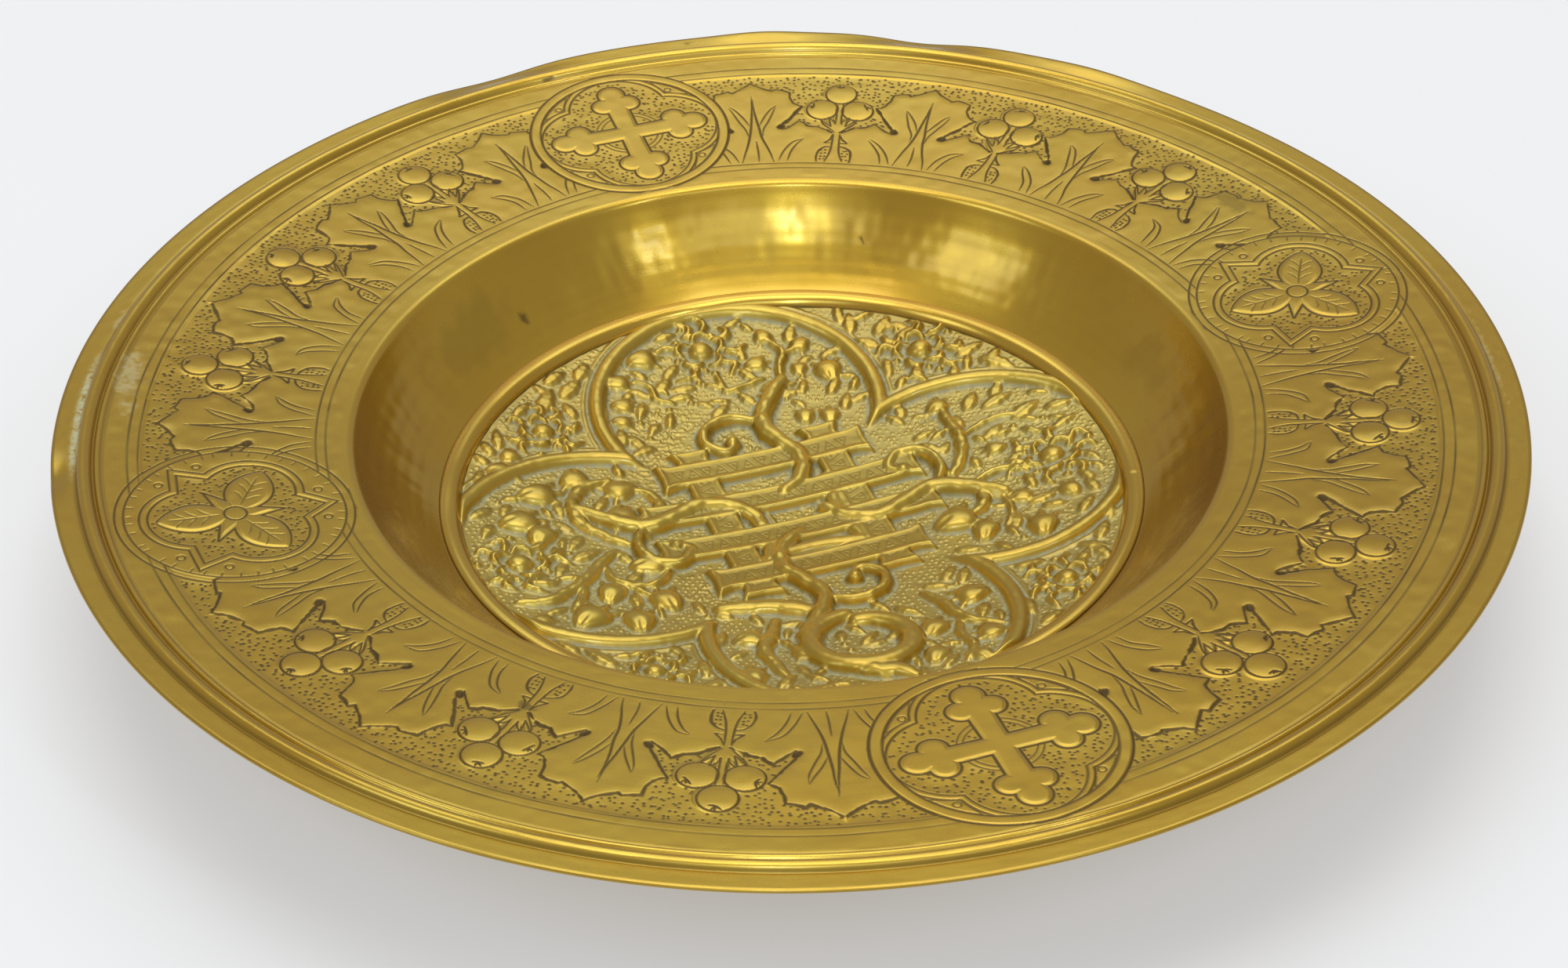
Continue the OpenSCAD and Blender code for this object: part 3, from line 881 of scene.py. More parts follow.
def lobe_rolls(sheet):
    """Four rounded rolls that outline the quatrefoil, each shown outside the other lobes only."""
    away = []
    for lobe in LOBES:
        c = lobe_centre(lobe)
        away.append(np.hypot(sheet.x - c[0], sheet.y - c[1]) - lobe[2])
    for i, d in enumerate(away):
        others = np.min([o for k, o in enumerate(away) if k != i], axis=0)
        open_part = rise(others, -3.2, -0.2)
        outer_part = rise(others, 2, 6)
        for centre, half, height, shown in ((0.0, 2.7, 2.7, open_part), (4.3, 0.75, 0.6, outer_part)):
            u = np.abs(d - centre) / half
            sheet.relief = np.maximum(sheet.relief, height * np.sqrt(np.clip(1 - u * u, 0, 1)) * shown)
    sheet.lobe = np.min(away, axis=0)


def slab(sheet, pts, height, frame_w=1.5, drop=0.4):
    """A flat bar with a raised border, standing on the ground with steep sides."""
    w = sheet.near(pts, 2.0)
    d = inside(sheet.x[w], sheet.y[w], pts)
    top = height - drop * rise(d, frame_w - 0.3, frame_w + 0.3) - 0.25 * (1 - rise(d, 0.0, 0.7))
    body = top * rise(d, -0.55, 0.1)
    here = d > -0.55
    sheet.relief[w] = np.where(here, np.where(d > 0, body, np.maximum(body, sheet.relief[w] * (d < -0.1))),
                               sheet.relief[w])
    sheet.cut[w] *= d < 0
    sheet.grime[w] = np.where(d > 0, 0.16 * rise(d, frame_w - 0.2, frame_w + 0.4), sheet.grime[w])


def zigzag(sheet, a, along, length):
    """Triangles with a dot in each, punched along the middle of a bar from a."""
    aside = np.array([-along[1], along[0]]) * ZIGZAG_W / 2
    for k in range(int(length / ZIGZAG_STEP)):
        base = a + along * (ZIGZAG_STEP * (k + 0.5))
        up = aside if k % 2 else -aside
        triangle = [base + along * 1.7 - up, base - along * 1.7 - up, base + up, base + along * 1.7 - up]
        sheet.chase(np.array(triangle), 0.4, 0.16, 0.34, ends=0.9)
        sheet.pit(base - up * 0.35, 0.5, 0.2, 0.4)


def bar(sheet, ends):
    """One bar of the trellis between two points, flared a little beyond each of them."""
    foot, head = placed(ends, (0, 0), TRELLIS_TURN)
    length = np.hypot(*(head - foot))
    along = (head - foot) / length
    aside = np.array([-along[1], along[0]])
    half = BAR_W / 2

    def end(at, out):
        tip, flare = at + out * 4, aside * (half + 1.5)
        return [at - aside * half, tip - flare, at + out * 3.4, tip + flare, at + aside * half]

    slab(sheet, np.array(end(head, along) + end(foot, -along)[::-1]), BAR_H)
    zigzag(sheet, foot, along, length)


def trellis(sheet):
    """A plain, even grid: four bars with like ends over two rails, as in the CAD medallion."""
    for x in (-RAIL_X, RAIL_X):
        bar(sheet, [(x, -RAIL_REACH), (x, RAIL_REACH)])
    for k in (-1.5, -0.5, 0.5, 1.5):
        reach = OUTER_REACH if abs(k) > 1 else INNER_REACH
        bar(sheet, [(-reach, BAR_PITCH * k), (reach, BAR_PITCH * k)])


def leaf_blade(sheet, centre, turn, length, width, height=1.5, base=0.4):
    """A pointed leaf with a midrib and side veins."""
    w = sheet.near([centre], length * 0.6)
    c, s = math.cos(math.radians(turn)), math.sin(math.radians(turn))
    dx, dy = sheet.x[w] - centre[0], sheet.y[w] - centre[1]
    u, v = dx * c + dy * s, dy * c - dx * s
    t = np.clip(u / length + 0.5, 0, 1)
    half = width / 2 * np.sin(np.pi * t ** 0.8) ** 0.8
    lobes = 1 - 0.16 * (0.5 + 0.5 * np.cos(t * 22))
    q = np.abs(v) / np.maximum(half * lobes, 1e-3)
    body = height * np.sqrt(np.clip(1 - q * q, 0, 1)) * (0.55 + 0.45 * np.sin(np.pi * t))
    vein = 0.35 * np.exp(-(v / 0.45) ** 2)
    ribs = 0.22 * np.clip(np.cos((u - np.abs(v) * 0.9) * 2.9), 0, 1) * (np.abs(v) > 0.5)
    here = (q < 1) & (t > 0) & (t < 1)
    shape = np.where(here, base * 0.3 + body - vein - ribs, -9)
    sheet.relief[w] = np.maximum(sheet.relief[w], shape)


def fruit(sheet, centre, radius, turn, height=None):
    """A swelling fruit, pointed and creased at its tip and held by three sepals."""
    height = radius * 0.55 if height is None else height
    for side in (-42, 0, 42):
        a = turn + 180 + side
        base = placed([(radius * 0.95, 0)], centre, a)[0]
        leaf_blade(sheet, base, a, radius * 1.3, radius * 0.6, height * 0.5)
    w = sheet.near([centre], radius * 1.5)
    c, s = math.cos(math.radians(turn)), math.sin(math.radians(turn))
    dx, dy = sheet.x[w] - centre[0], sheet.y[w] - centre[1]
    u, v = (dx * c + dy * s) / radius, (dy * c - dx * s) / radius
    wobble = 1 + 0.1 * noise(sheet.x[w], sheet.y[w], radius * 1.1, 14)
    q = (np.where(u > 0, u / 1.25, u / 0.95) ** 2 + (v / (0.95 - 0.22 * u)) ** 2) * wobble
    seam = 0.22 * height * np.exp(-(v / 0.13) ** 2) * rise(u, 0.1, 0.7)
    body = height * np.sqrt(np.clip(1 - q, 0, 1)) - seam
    sheet.relief[w] = np.maximum(sheet.relief[w], np.where(q < 1, body + 0.25, -9))


def flower(sheet, centre, radius, turn, petals=8):
    """A full-blown flower: a boss, curled petals in two rings and small seeds between them."""
    for k in range(petals):
        a = turn + k * 360 / petals + rng.uniform(-12, 12)
        bend = rng.choice([-1, 1]) * rng.uniform(0.16, 0.32) * radius
        reach = radius * rng.uniform(0.95, 1.15)
        rib = [(radius * 0.5, 0), (radius * 0.68, bend * 0.8), (radius * 0.86, bend), (reach, bend * 0.1)]
        sheet.tube(placed(curve(rib), centre, a), radius * 0.21, 2.0, ends=0.4, knobs=0.16)
        seed = placed([(radius * rng.uniform(0.6, 1.0), 0)], centre, a + 180 / petals)[0]
        sheet.dome(seed, radius * rng.uniform(0.07, 0.1), 1.5)
    for k in range(5):
        a = turn + 20 + k * 72 + rng.uniform(-9, 9)
        bend = rng.choice([-1, 1]) * radius * 0.2
        curl = [(radius * 0.3, -bend), (radius * 0.5, -bend * 0.6), (radius * 0.56, bend * 0.5),
                (radius * 0.42, bend)]
        sheet.tube(placed(curve(curl), centre, a), radius * 0.19, 2.3, ends=0.5, knobs=0.12)
        sheet.dome(placed([(radius * 0.62, 0)], centre, a + 36)[0], radius * 0.085, 1.8)
    sheet.dome(centre, radius * 0.3, radius * 0.24, 0.5)


def scattered(sheet, tries, inner, outer, lengths, inside_lobes):
    """Small leaves wherever the ground is still bare, inside or outside the lobes."""
    for _ in range(tries):
        d, a = math.sqrt(rng.uniform(inner ** 2, outer ** 2)), rng.uniform(0, 2 * math.pi)
        centre = np.array([d * math.cos(a), d * math.sin(a)])
        length = rng.uniform(*lengths)
        turn = math.degrees(a) + rng.choice([-60, 55, 110, 20, -20]) + rng.uniform(-25, 25)
        row, column = ((centre[::-1] + sheet.half) / sheet.cell).astype(int)
        if (sheet.lobe[row, column] < -3.0) != inside_lobes or abs(sheet.lobe[row, column]) < 3.4:
            continue
        w = sheet.near([centre], length * 0.3)
        if np.quantile(sheet.relief[w], 0.8) < 0.35:
            leaf_blade(sheet, centre, turn, length, length * rng.uniform(0.38, 0.55), rng.uniform(1.1, 1.7))
            tip = placed([(length * 0.62, 0.6)], centre, turn)[0]
            if rng.random() < 0.4:
                sheet.dome(tip, rng.uniform(0.7, 1.1), 1.3)


def pearls(sheet, spacing=2.0):
    """Small beads over the open ground."""
    for i, y in enumerate(np.arange(-96, 96, spacing * 0.87)):
        for x in np.arange(-96, 96, spacing) + (i % 2) * spacing / 2:
            px, py = x + rng.uniform(-0.45, 0.45), y + rng.uniform(-0.45, 0.45)
            if px * px + py * py < 93.5 ** 2 and rng.random() > 0.12:
                row, column = int((py + sheet.half) / sheet.cell), int((px + sheet.half) / sheet.cell)
                if sheet.relief[row, column] < 0.12:
                    sheet.dome((px, py), rng.uniform(0.42, 0.62), rng.uniform(0.16, 0.3), 0.7)


# Branches behind the trellis: width, height, size at the ends, knobs and the points they run through
BRANCHES = (
    (4.2, 2.3, 0.7, 0.1, [(47, 14), (50, 22), (50, 31), (47, 39), (45, 45)]),
    (2.6, 1.7, 0.6, 0.1, [(50, 30), (55, 35), (61, 38), (67, 39)]),
    (4.4, 2.4, 0.7, 0.08, [(45, 9), (51, 9), (55, 4), (55, -2), (51, -7)]),
    (3.2, 2.0, 0.6, 0.1, [(52, 8), (58, 13), (64, 14), (69, 12)]),
    (2.6, 1.7, 0.6, 0.1, [(55, 2), (61, 0), (63, -6), (61, -13)]),
    (4.6, 2.4, 0.65, 0.1, [(-46, -17), (-54, -13), (-61, -7), (-63, 2), (-60, 9), (-53, 13)]),
    (4.8, 2.5, 0.6, 0.1, [(-50, -20), (-54, -27), (-57, -35), (-62, -42), (-67, -48), (-75, -50)]),
    (3.4, 2.0, 0.6, 0.1, [(-58, -37), (-58, -44), (-60, -52)]),
    (3.4, 2.0, 0.5, 0.1, [(-53, -27), (-50, -34), (-44, -37), (-38, -35), (-35, -29), (-37, -24)]),
    (3.0, 1.9, 0.5, 0.1, [(-50, -35), (-43, -39), (-38, -44), (-36, -51)]),
    (4.2, 2.3, 0.65, 0.1, [(-41, -12), (-43, -5), (-38, 2), (-41, 8), (-46, 10)]),
    (3.2, 2.0, 0.6, 0.1, [(-2, 60), (-3, 68), (-2, 74), (-7, 80)]),
    (2.4, 1.7, 0.8, 0.1, [(-2, 73), (3, 77)]),
    (2.6, 1.6, 0.6, 0.1, [(-22, 64), (-19, 57), (-13, 60), (-8, 63)]),
    (2.6, 1.7, 0.6, 0.1, [(-47, 60), (-42, 57), (-40, 52), (-35, 51)]),
    (5.0, 2.4, 0.5, 0.1, [(-5, -52), (-6, -60), (-8, -68), (-5, -76), (-2, -82)]),
    (2.6, 1.6, 0.5, 0.1, [(-5, -62), (0, -67), (1, -73)]),
    (4.2, 2.3, 0.6, 0.1, [(36, -42), (41, -48), (45, -55), (50, -59), (56, -61)]),
    (3.2, 1.9, 0.5, 0.1, [(45, -56), (45, -64), (48, -71), (46, -78)]),
)


def vines_under(sheet):
    """Branches that pass behind the trellis."""
    for width, height, ends, knobs, points in BRANCHES:
        sheet.tube(curve(points), width, height, ends, knobs)


def vines_over(sheet):
    """Four like branches that come in over the trellis from its sides, and a coiled tendril."""
    for q in range(4):
        angle = TRELLIS_TURN + 90 * q
        stem = placed([(59, -17), (50, -9), (41, -5), (32, -8), (24, -11), (15, -8), (10, -1)], (0, 0), angle)
        sheet.tube(curve(stem), 6.4, 3.9, 0.75, 0.05)
        shoot = placed([(43, -5), (47, 3), (45, 11), (38, 14), (33, 9), (36, 5)], (0, 0), angle)
        sheet.tube(curve(shoot), 4.4, 3.5, 0.7, 0.04)
        sheet.dome(placed([(36.5, 6)], (0, 0), angle)[0], 2.6, 3.6)
    turns = [(19 + (16.5 - 0.6 * t) * math.cos(t), -65 + (15.2 - 0.5 * t) * math.sin(t))
             for t in np.linspace(1.9, 8.0, 34)]
    sheet.tube(np.array(turns), 7.8, 4.0, 0.75, 0.02)
    sheet.tube(curve([(12, -75), (20, -80), (27, -80.5), (32, -84)]), 6.6, 3.2, 0.6, 0.07)
    sheet.tube(curve([(-20, -47), (-11, -46), (-4, -46), (4, -48), (11, -52)]), 6.8, 3.0, 0.7, 0.05)


# Flowers: x, y, radius, turn
FLOWERS = (
    (-27, 74, 13, 10), (76, 17, 13, 40), (-76, -31, 13, 0), (-73, 33, 11.5, 25), (40, 72, 13, 15),
    (75, -43, 12, 30), (-37, -80, 10.5, 5),
)
# Fruits: x, y, radius, turn
FRUITS = (
    (-45, 69, 4.4, 200), (-52, 58, 3.8, 190), (-50, 48, 3.4, 180), (-50, 41, 3.0, 185),
    (-8, 81, 3.0, 120), (3.4, 77.5, 3.2, 60), (12, 66, 4.4, 285), (3, 67, 2.6, 270),
    (4.5, 46, 3.0, 275), (12, 46, 3.2, 275), (-10, 69, 3.4, 200), (47, -8, 6.0, 210),
    (44, 46, 3.4, 230), (55, -14, 4.4, 260), (71, -15, 4.8, 270), (66, 0, 3.6, 200), (60, 24, 3.0, 20),
    (80, 0, 3.4, 300), (-63, 12, 4.8, 100), (-73, 3, 5.4, 200), (-50, 9, 4.6, 40), (-77, -11, 5.4, 200),
    (-71, -16, 4.6, 260), (-49, -4, 5.4, 80), (-40, -26, 5.0, 200), (-50, -41, 4.6, 260),
    (-55, -54, 5.6, 240), (-42, -54, 5.0, 280), (-35, -43, 5.0, 300), (-68, -58, 3.0, 230),
    (-12, -62, 4.2, 200), (-11, -82, 4.4, 280), (3, -70, 3.8, 300), (49, -45, 4.8, 20),
    (38, -60, 4.2, 250), (53, -65, 4.0, 0), (38, -74, 4.0, 260), (50, -76, 3.4, 300),
    (-84, 12, 4.4, 200), (-82, 20, 3.2, 100),
)
# Leaves: x, y, turn, length, width
BLADES = (
    (-73, 47, 80, 13, 6), (-66, 54, 60, 11, 5.5), (-71, 58, 50, 9, 4.6), (-63, 62, 70, 9, 5),
    (-66, 44, 120, 8, 4.4), (-86, 27, 100, 10, 4), (19, 86, 95, 9, 5), (29, 84, 60, 9, 5),
    (36, 80, 40, 9, 4), (24, 77, 150, 9, 5), (55, 70, 30, 10, 5), (63, 63, -30, 12, 6),
    (50, 61, 80, 8, 4), (62, 66, 60, 8, 4), (30, 66, 100, 9, 3.6), (70, 40, 40, 11, 6),
    (80, 40, 10, 9, 5), (62, 46, 30, 11, 5), (54, 47, 70, 9, 5), (60, 32, 50, 9, 4),
    (72, -2, 20, 10, 5), (64, -11, 80, 9, 4.4), (84, -8, 60, 9, 4), (50, 38, 100, 8, 4),
    (41, 28, 140, 8, 4), (40, 34, 30, 8, 4), (87, -22, 70, 10, 4.4), (90, -13, 80, 9, 3.6),
    (66, -33, 10, 9, 4), (81, -33, 60, 8, 4), (64, -54, 100, 10, 4), (70, -61, 40, 9, 4.4),
    (-24, -77, 100, 10, 4.4), (-52, -74, 140, 12, 5), (-61, -70, 140, 9, 4), (-58, -23, 40, 10, 5),
    (-66, -24, 110, 9, 4), (-44, -32, 60, 9, 4.6), (-55, 2, 70, 9, 4), (-67, -2, 110, 8, 4),
    (-43, -54, 60, 9, 4), (-15, 74, 110, 8, 3.6), (-36, 65, 60, 9, 4), (-38, 80, 30, 8, 4),
    (-50, 34, 100, 9, 4.4), (17, 52, 80, 8, 4), (-20, -62, 80, 9, 4), (-2, -84, 60, 9, 4),
    (8, -88, 20, 9, 4), (44, -82, 40, 8, 4), (-80, 42, 60, 9, 4), (-90, 8, 85, 9, 4),
    (48, 84, -40, 9, 4),
)


def foliage(sheet):
    """Flowers, fruits and leaves in the lobes and in the corners between them."""
    for x, y, size, turn in FLOWERS:
        flower(sheet, (x, y), size, turn)
    for x, y, r, turn in FRUITS:
        fruit(sheet, (x, y), r, turn)
    for x, y, turn, length, width in BLADES:
        leaf_blade(sheet, (x, y), turn, length, width)


def struck_medallion():
    """The medallion's relief, struck and then softened, with residue in its hollows."""
    sheet = SquareSheet(MED_HALF, MED_CELL)
    lobe_rolls(sheet)
    foliage(sheet)
    vines_under(sheet)
    scattered(sheet, 1500, 56, 92, (6.5, 10.5), False)
    scattered(sheet, 900, 52, 90, (6.0, 9.0), True)
    lobe_rolls(sheet)
    trellis(sheet)
    vines_over(sheet)
    r = np.hypot(sheet.x, sheet.y)
    mm = 1 / sheet.cell
    sheet.relief = blurred(sheet.relief * (1 - rise(r, 94.0, 95.6)), 0.85 * mm)
    pearls(sheet)
    sheet.relief += 0.1 * cloud(sheet.x, sheet.y, 6, 81) + 0.05 * noise(sheet.x, sheet.y, 2.0, 83)
    rough = rise(0.6 - sheet.relief, 0.0, 0.5) * rise(cloud(sheet.x, sheet.y, 14, 87), -0.2, 0.3) * (r < 93)
    sheet.relief += 0.16 * rough * (noise(sheet.x, sheet.y, 1.0, 88) + 0.6 * noise(sheet.x, sheet.y, 1.9, 89))
    height = sheet.height()
    hollow = blurred(height, 4.0 * mm) - height
    crease = blurred(height, 1.4 * mm) - height
    patchy = 0.5 + 0.5 * cloud(sheet.x, sheet.y, 22, 85)
    low = 1 - rise(height, 0.2, 1.2)
    sheet.dull = np.clip(low * (0.25 + 0.35 * patchy) + 0.35 * rise(hollow, 0.0, 0.7), 0, 1)
    chalk = rise(crease, 0.06, 0.3) * low * (0.5 + 0.6 * patchy)
    sheet.residue = np.clip(chalk + 0.35 * rise(hollow, 0.3, 0.9) * low, 0, 1)
    # The creases are darkened as well.
    sheet.grime = np.clip(np.maximum(sheet.grime, 0.35 * rise(crease, 0.15, 0.5)), 0, 1)
    return sheet


def make_medallion(sheet):
    """The struck disc, with fewer columns towards its middle, its edge and its plain back."""
    rings = Rings()
    columns = MED_COLUMNS
    radii = np.arange(MED_R - 0.02, 1.2, -MED_STEP)
    height = sheet.height()
    upper = []
    for r in radii:
        while columns > 16 and 2 * np.pi * r / columns < MED_STEP * 0.55:
            columns //= 2
        upper.append((r, columns))
    for r, n in upper[::-1]:
        a = np.arange(n) * 2 * np.pi / n
        x, y = r * np.cos(a), r * np.sin(a)
        rings.add(r, med_z(r) + sheet.sample(height, x, y), n, grime=sheet.sample(sheet.grime, x, y),
                  residue=sheet.sample(sheet.residue, x, y), dull=sheet.sample(sheet.dull, x, y))
    split = rings.count()
    rings.add(MED_R, med_z(MED_R) - 0.3, MED_COLUMNS // 4)
    for r in np.arange(MED_R - 0.5, 2.0, -4.0):
        rings.add(r, med_z(r) - SHEET_T, MED_COLUMNS // 4 if r > 40 else 64)
    top = float(med_z(0) + sheet.sample(height, np.zeros(1), np.zeros(1))[0])
    return rings.mesh("struck_medallion", two_discs(split, MED_HALF), caps=(top, med_z(0) - SHEET_T))


def ring_uv(co):
    """A bake map that keeps the ring a ring."""
    a = np.arctan2(co[:, 1], co[:, 0]) / (2 * np.pi) + 0.5
    r = np.hypot(co[:, 0], co[:, 1])
    return np.stack([0.5 + (0.28 + (r - 90) * 0.018) * np.cos(a * 2 * np.pi),
                     0.5 + (0.28 + (r - 90) * 0.018) * np.sin(a * 2 * np.pi)], 1)


def make_ring():
    """The half-round moulding, with the small unevenness of a ring bent and fitted by hand."""
    rings = Rings()
    outer = (WALL_FOOT[0] + 0.1, WALL_FOOT[1] + 0.25)
    inner = (RING_IN_R, med_z(RING_IN_R) + 0.05)
    turn = 4 * math.degrees(math.atan(2 * RING_BULGE / math.hypot(outer[0] - inner[0], outer[1] - inner[1])))
    crown = arc(outer, inner, turn, 18)[::-1]
    a = np.arange(SMOOTH) * 2 * np.pi / SMOOTH
    wave = 0.12 * noise(a * 7 + 9, a * 0, 1.0, 91)
    last = len(crown) - 1
    for i, (r, z) in enumerate(crown):
        groove = 0.7 * math.exp(-(i / 1.1) ** 2) + 0.45 * math.exp(-((last - i) / 1.0) ** 2)
        swell = wave * math.sin(math.pi * i / last)
        rings.add(r, z + swell, SMOOTH, grime=groove, residue=0.6 * groove * (i < 4))
    seat = (MED_EDGE_R, med_z(MED_EDGE_R) + 0.03)
    for r, z in ((outer[0] - 0.6, outer[1] - 0.9), (97.6, 14.35), seat, (inner[0] + 0.2, inner[1])):
        rings.add(r, z, SMOOTH // 2)
    rings.rings.append((rings.rings[0][0].copy(), dict(rings.rings[0][1])))
    return rings.mesh("bezel_ring", ring_uv)


# ---------------------------------------------------------------- materials
class Nodes:
    """Short ways to add and join shader nodes."""

    def __init__(self, name):
        self.material = bpy.data.materials.new(name)
        self.material.use_nodes = True
        self.tree = self.material.node_tree
        self.shader = self.tree.nodes["Principled BSDF"]

    def add(self, kind, **settings):
        node = self.tree.nodes.new(kind)
        for key, value in settings.items():
            setattr(node, key, value)
        return node

    def join(self, value, socket):
        if isinstance(value, bpy.types.NodeSocket):
            self.tree.links.new(value, socket)
        else:
            socket.default_value = value

    def layer(self, name):
        return self.add("ShaderNodeAttribute", attribute_name=name).outputs["Fac"]

    def math(self, operation, a, b=0.0, clamp=False):
        node = self.add("ShaderNodeMath", operation=operation, use_clamp=clamp)
        self.join(a, node.inputs[0])
        self.join(b, node.inputs[1])
        return node.outputs[0]

    def mix(self, amount, a, b):
        node = self.add("ShaderNodeMix", data_type="RGBA")
        self.join(amount, node.inputs["Factor"])
        self.join(a, node.inputs[6])
        self.join(b, node.inputs[7])
        return node.outputs[2]

    def span(self, value, lo, hi, out_lo=0.0, out_hi=1.0):
        node = self.add("ShaderNodeMapRange", interpolation_type="SMOOTHSTEP")
        self.join(value, node.inputs["Value"])
        for key, number in (("From Min", lo), ("From Max", hi), ("To Min", out_lo), ("To Max", out_hi)):
            node.inputs[key].default_value = number
        return node.outputs[0]

    def noise(self, scale, detail=3.0, rough=0.55, vector=None):
        node = self.add("ShaderNodeTexNoise")
        node.inputs["Scale"].default_value = scale
        node.inputs["Detail"].default_value = detail
        node.inputs["Roughness"].default_value = rough
        self.join(vector if vector is not None else self.place(), node.inputs["Vector"])
        return node.outputs["Fac"]

    def place(self):
        return self.add("ShaderNodeTexCoord").outputs["Object"]

    def spun(self, across, around, height=0.0):
        """Coordinates for marks that run round the axis: fine across them and long around it."""
        split = self.add("ShaderNodeSeparateXYZ")
        self.join(self.place(), split.inputs[0])
        x, y, z = split.outputs
        r = self.math("SQRT", self.math("ADD", self.math("MULTIPLY", x, x), self.math("MULTIPLY", y, y)))
        angle = self.math("ARCTAN2", y, x)
        join = self.add("ShaderNodeCombineXYZ")
        self.join(self.math("MULTIPLY", r, across), join.inputs[0])
        self.join(self.math("MULTIPLY", angle, around), join.inputs[1])
        self.join(self.math("MULTIPLY", z, height), join.inputs[2])
        return join.outputs[0]


def brass(name, tone, grime=(0.085, 0.052, 0.012), residue=(0.46, 0.45, 0.27), roughness=0.25, spin=0.12,
          haze=1.0, brushed=0.6):
    """Worn polished brass: uneven tarnish, spinning marks, and whatever the mesh's layers put on it."""
    n = Nodes(name)
    dark, pale, dull = n.layer("grime"), n.layer("residue"), n.layer("dull")
    warm = n.span(n.noise(11, 3), 0.36, 0.68)
    cloudy = n.span(n.noise(38, 5, 0.6), 0.42, 0.74)
    specks = n.span(n.noise(420, 2, 0.5), 0.68, 0.78)
    fresh = tuple(tone) + (1,)
    golden = (tone[0] * 0.93, tone[1] * 0.84, tone[2] * 0.6, 1)
    brown = (tone[0] * 0.72, tone[1] * 0.62, tone[2] * 0.5, 1)
    olive = (tone[0] * 0.78, tone[1] * 0.88, tone[2] * 1.9, 1)
    colour = n.mix(n.math("MULTIPLY", warm, 0.8), fresh, golden)
    colour = n.mix(n.math("MULTIPLY", cloudy, 0.3 * haze), colour, brown)
    colour = n.mix(n.math("MULTIPLY", specks, 0.25), colour, brown)
    colour = n.mix(dull, colour, olive)
    streak = n.span(n.noise(1.0, 3, 0.6, n.spun(900, 3.0)), 0.3, 0.7)
    colour = n.mix(n.math("MULTIPLY", streak, 0.03), colour, brown)
    uneven = n.noise(700, 3, 0.6)
    pale_here = n.math("MULTIPLY", pale, n.span(uneven, 0.25, 0.62), clamp=True)
    dark_here = n.math("MULTIPLY", dark, n.span(uneven, 0.1, 0.5, 0.8, 1.0), clamp=True)
    colour = n.mix(pale_here, colour, tuple(residue) + (1,))
    # The dark colour is tarnish in the chased lines, dots, joints and old stains, and painted shade along the
    # rim's bead grooves.
    colour = n.mix(n.math("POWER", dark_here, 0.7), colour, tuple(grime) + (1,))
    n.join(colour, n.shader.inputs["Base Color"])
    covered = n.math("MAXIMUM", n.math("MULTIPLY", pale_here, 0.9), n.math("MULTIPLY", dark_here, 0.3))
    n.join(n.math("SUBTRACT", 1.0, covered, clamp=True), n.shader.inputs["Metallic"])
    rough = n.math("ADD", roughness, n.math("MULTIPLY", cloudy, 0.07 * haze))
    rough = n.math("ADD", rough, n.math("MULTIPLY", streak, 0.02))
    rough = n.math("ADD", rough, n.math("MULTIPLY", dull, 0.16))
    soiled = n.math("MULTIPLY", n.math("MAXIMUM", pale_here, dark_here), 0.35)
    rough = n.math("ADD", rough, soiled, clamp=True)
    n.join(rough, n.shader.inputs["Roughness"])
    marks = n.noise(1.0, 3, 0.65, n.spun(5200, 6.0, 5200))
    grain = n.noise(900, 3, 0.6)
    bump = n.add("ShaderNodeBump")
    bump.inputs["Strength"].default_value = spin
    bump.inputs["Distance"].default_value = 0.00003
    n.join(n.math("ADD", marks, n.math("MULTIPLY", grain, 0.35)), bump.inputs["Height"])
    n.join(bump.outputs[0], n.shader.inputs["Normal"])
    tangent = n.add("ShaderNodeTangent", direction_type="RADIAL", axis="Z")
    n.join(tangent.outputs[0], n.shader.inputs["Tangent"])
    n.shader.inputs["Anisotropic"].default_value = brushed
    n.shader.inputs["Anisotropic Rotation"].default_value = 0.25
    shiny = n.math("SUBTRACT", 1.0, n.math("MAXIMUM", dark_here, pale_here), clamp=True)
    n.join(n.math("MULTIPLY", shiny, 0.45), n.shader.inputs["Coat Weight"])
    n.shader.inputs["Coat Roughness"].default_value = 0.14
    return n


def plain_solder():
    """Dull grey solder."""
    n = Nodes("soft_solder")
    dull = n.span(n.noise(300, 4), 0.35, 0.7)
    n.join(n.mix(dull, (0.42, 0.41, 0.38, 1), (0.25, 0.24, 0.21, 1)), n.shader.inputs["Base Color"])
    n.shader.inputs["Metallic"].default_value = 0.9
    n.join(n.math("ADD", 0.42, n.math("MULTIPLY", dull, 0.2)), n.shader.inputs["Roughness"])
    bump = n.add("ShaderNodeBump")
    bump.inputs["Strength"].default_value = 0.4
    bump.inputs["Distance"].default_value = 0.0002
    n.join(n.noise(600, 3), bump.inputs["Height"])
    n.join(bump.outputs[0], n.shader.inputs["Normal"])
    return n


# ---------------------------------------------------------------- camera, floor and light
def make_camera():
    """The view from the front and above, rolled a little, as a long lens sees it."""
    place = Vector((0.0, -0.68707, 0.52096))
    aim = Vector((-0.00197, -0.04634, 0.04866))
    roll = math.radians(-1.239)
    ahead = (aim - place).normalized()
    right = ahead.cross(Vector((0, 0, 1))).normalized()
    up = right.cross(ahead)
    right, up = right * math.cos(roll) + up * math.sin(roll), up * math.cos(roll) - right * math.sin(roll)
    data = bpy.data.cameras.new("camera")
    data.lens = 68.42
    data.sensor_width = 36.0
    data.clip_start = 0.01
    camera = bpy.data.objects.new("camera", data)
    camera.matrix_world = Matrix(((right.x, up.x, -ahead.x, place.x), (right.y, up.y, -ahead.y, place.y),
                                  (right.z, up.z, -ahead.z, place.z), (0, 0, 0, 1)))
    bpy.context.scene.collection.objects.link(camera)
    bpy.context.scene.camera = camera


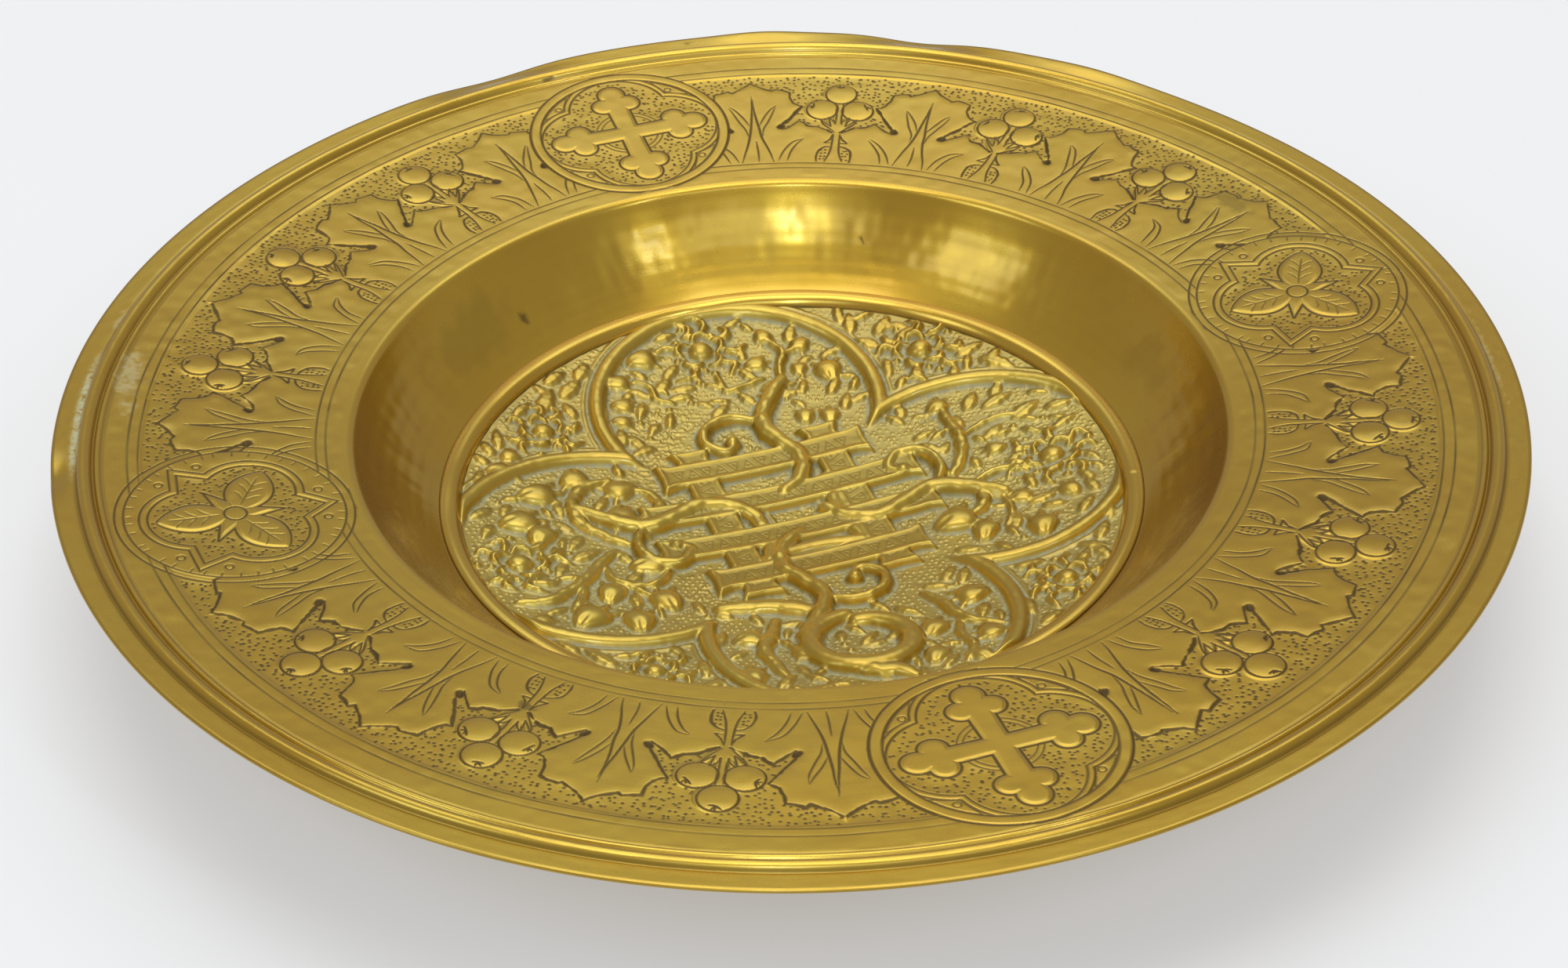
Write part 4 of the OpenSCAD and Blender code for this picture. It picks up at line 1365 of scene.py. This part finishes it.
def make_floor():
    """A plain pale floor that also glows a little, so that it stays pale beside the brass."""
    bpy.ops.mesh.primitive_plane_add(size=12, location=(0, 0, -0.0004))
    floor = bpy.context.object
    floor.name = "floor"
    n = Nodes("pale_floor")
    n.shader.inputs["Base Color"].default_value = (0.52, 0.52, 0.52, 1)
    n.shader.inputs["Roughness"].default_value = 0.8
    n.shader.inputs["Specular IOR Level"].default_value = 0.1
    n.shader.inputs["Emission Color"].default_value = (1, 1, 1, 1)
    n.shader.inputs["Emission Strength"].default_value = 0.33
    floor.data.materials.append(n.material)


def soft_box(name, place, aim, size, power, colour=(1, 1, 1)):
    data = bpy.data.lights.new(name, "AREA")
    data.shape = "RECTANGLE"
    data.size, data.size_y = size
    data.energy = power
    data.color = colour
    light = bpy.data.objects.new(name, data)
    light.location = place
    light.rotation_euler = (Vector(aim) - Vector(place)).to_track_quat("-Z", "Y").to_euler()
    bpy.context.scene.collection.objects.link(light)


def make_light():
    """Soft boxes round and above the dish: long ones for its sheen, narrow ones for its highlights."""
    world = bpy.data.worlds.new("studio")
    world.use_nodes = True
    world.node_tree.nodes["Background"].inputs[0].default_value = (1.0, 0.94, 0.87, 1)
    world.node_tree.nodes["Background"].inputs[1].default_value = 0.5
    bpy.context.scene.world = world
    centre = (0, 0, 0.03)
    cool, cold = (0.86, 0.94, 1.0), (0.66, 0.8, 1.0)
    soft_box("front", (-0.06, -1.5, 1.4), centre, (0.12, 0.4), 3.2, cold)
    soft_box("front_wide", (0.15, -1.7, 1.6), centre, (1.7, 0.8), 7, cold)
    soft_box("front_right", (1.15, -1.2, 1.65), centre, (0.12, 0.7), 3.5, cold)
    soft_box("left", (-1.55, -0.8, 1.7), centre, (0.8, 0.9), 7, cold)
    soft_box("top", (0.0, 0.0, 2.6), centre, (1.6, 1.2), 19)
    soft_box("back", (0.0, 1.5, 2.65), centre, (2.6, 1.1), 17, cool)
    soft_box("far_glow", (0.0, 2.0, 2.0), centre, (1.6, 0.5), 2.5, cold)
    bpy.context.scene.view_settings.view_transform = "Standard"


# ---------------------------------------------------------------- assembly
def stand_for(obj, node, material):
    """Shows obj in place of a CAD node, riding on its body, with its own material."""
    obj.data.materials.append(material)
    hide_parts(node)
    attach(obj, "root")


make_camera()
make_floor()
make_light()

dish = make_dish(chased_border())
medallion = make_medallion(struck_medallion())
bezel = make_ring()

dish_brass = brass("dish_brass", (0.52, 0.345, 0.038))
med_brass = brass("medallion_brass", (0.47, 0.335, 0.048), residue=(0.44, 0.42, 0.24),
                  roughness=0.34, spin=0.1, haze=0.6, brushed=0.0)
ring_brass = brass("ring_brass", (0.54, 0.36, 0.045), roughness=0.2)

stand_for(dish, "dish_body", dish_brass.material)
stand_for(medallion, "medallion", med_brass.material)
stand_for(bezel, "medallion_ring", ring_brass.material)

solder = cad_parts["ring_solder"]
solder.data.materials.clear()
solder.data.materials.append(plain_solder().material)
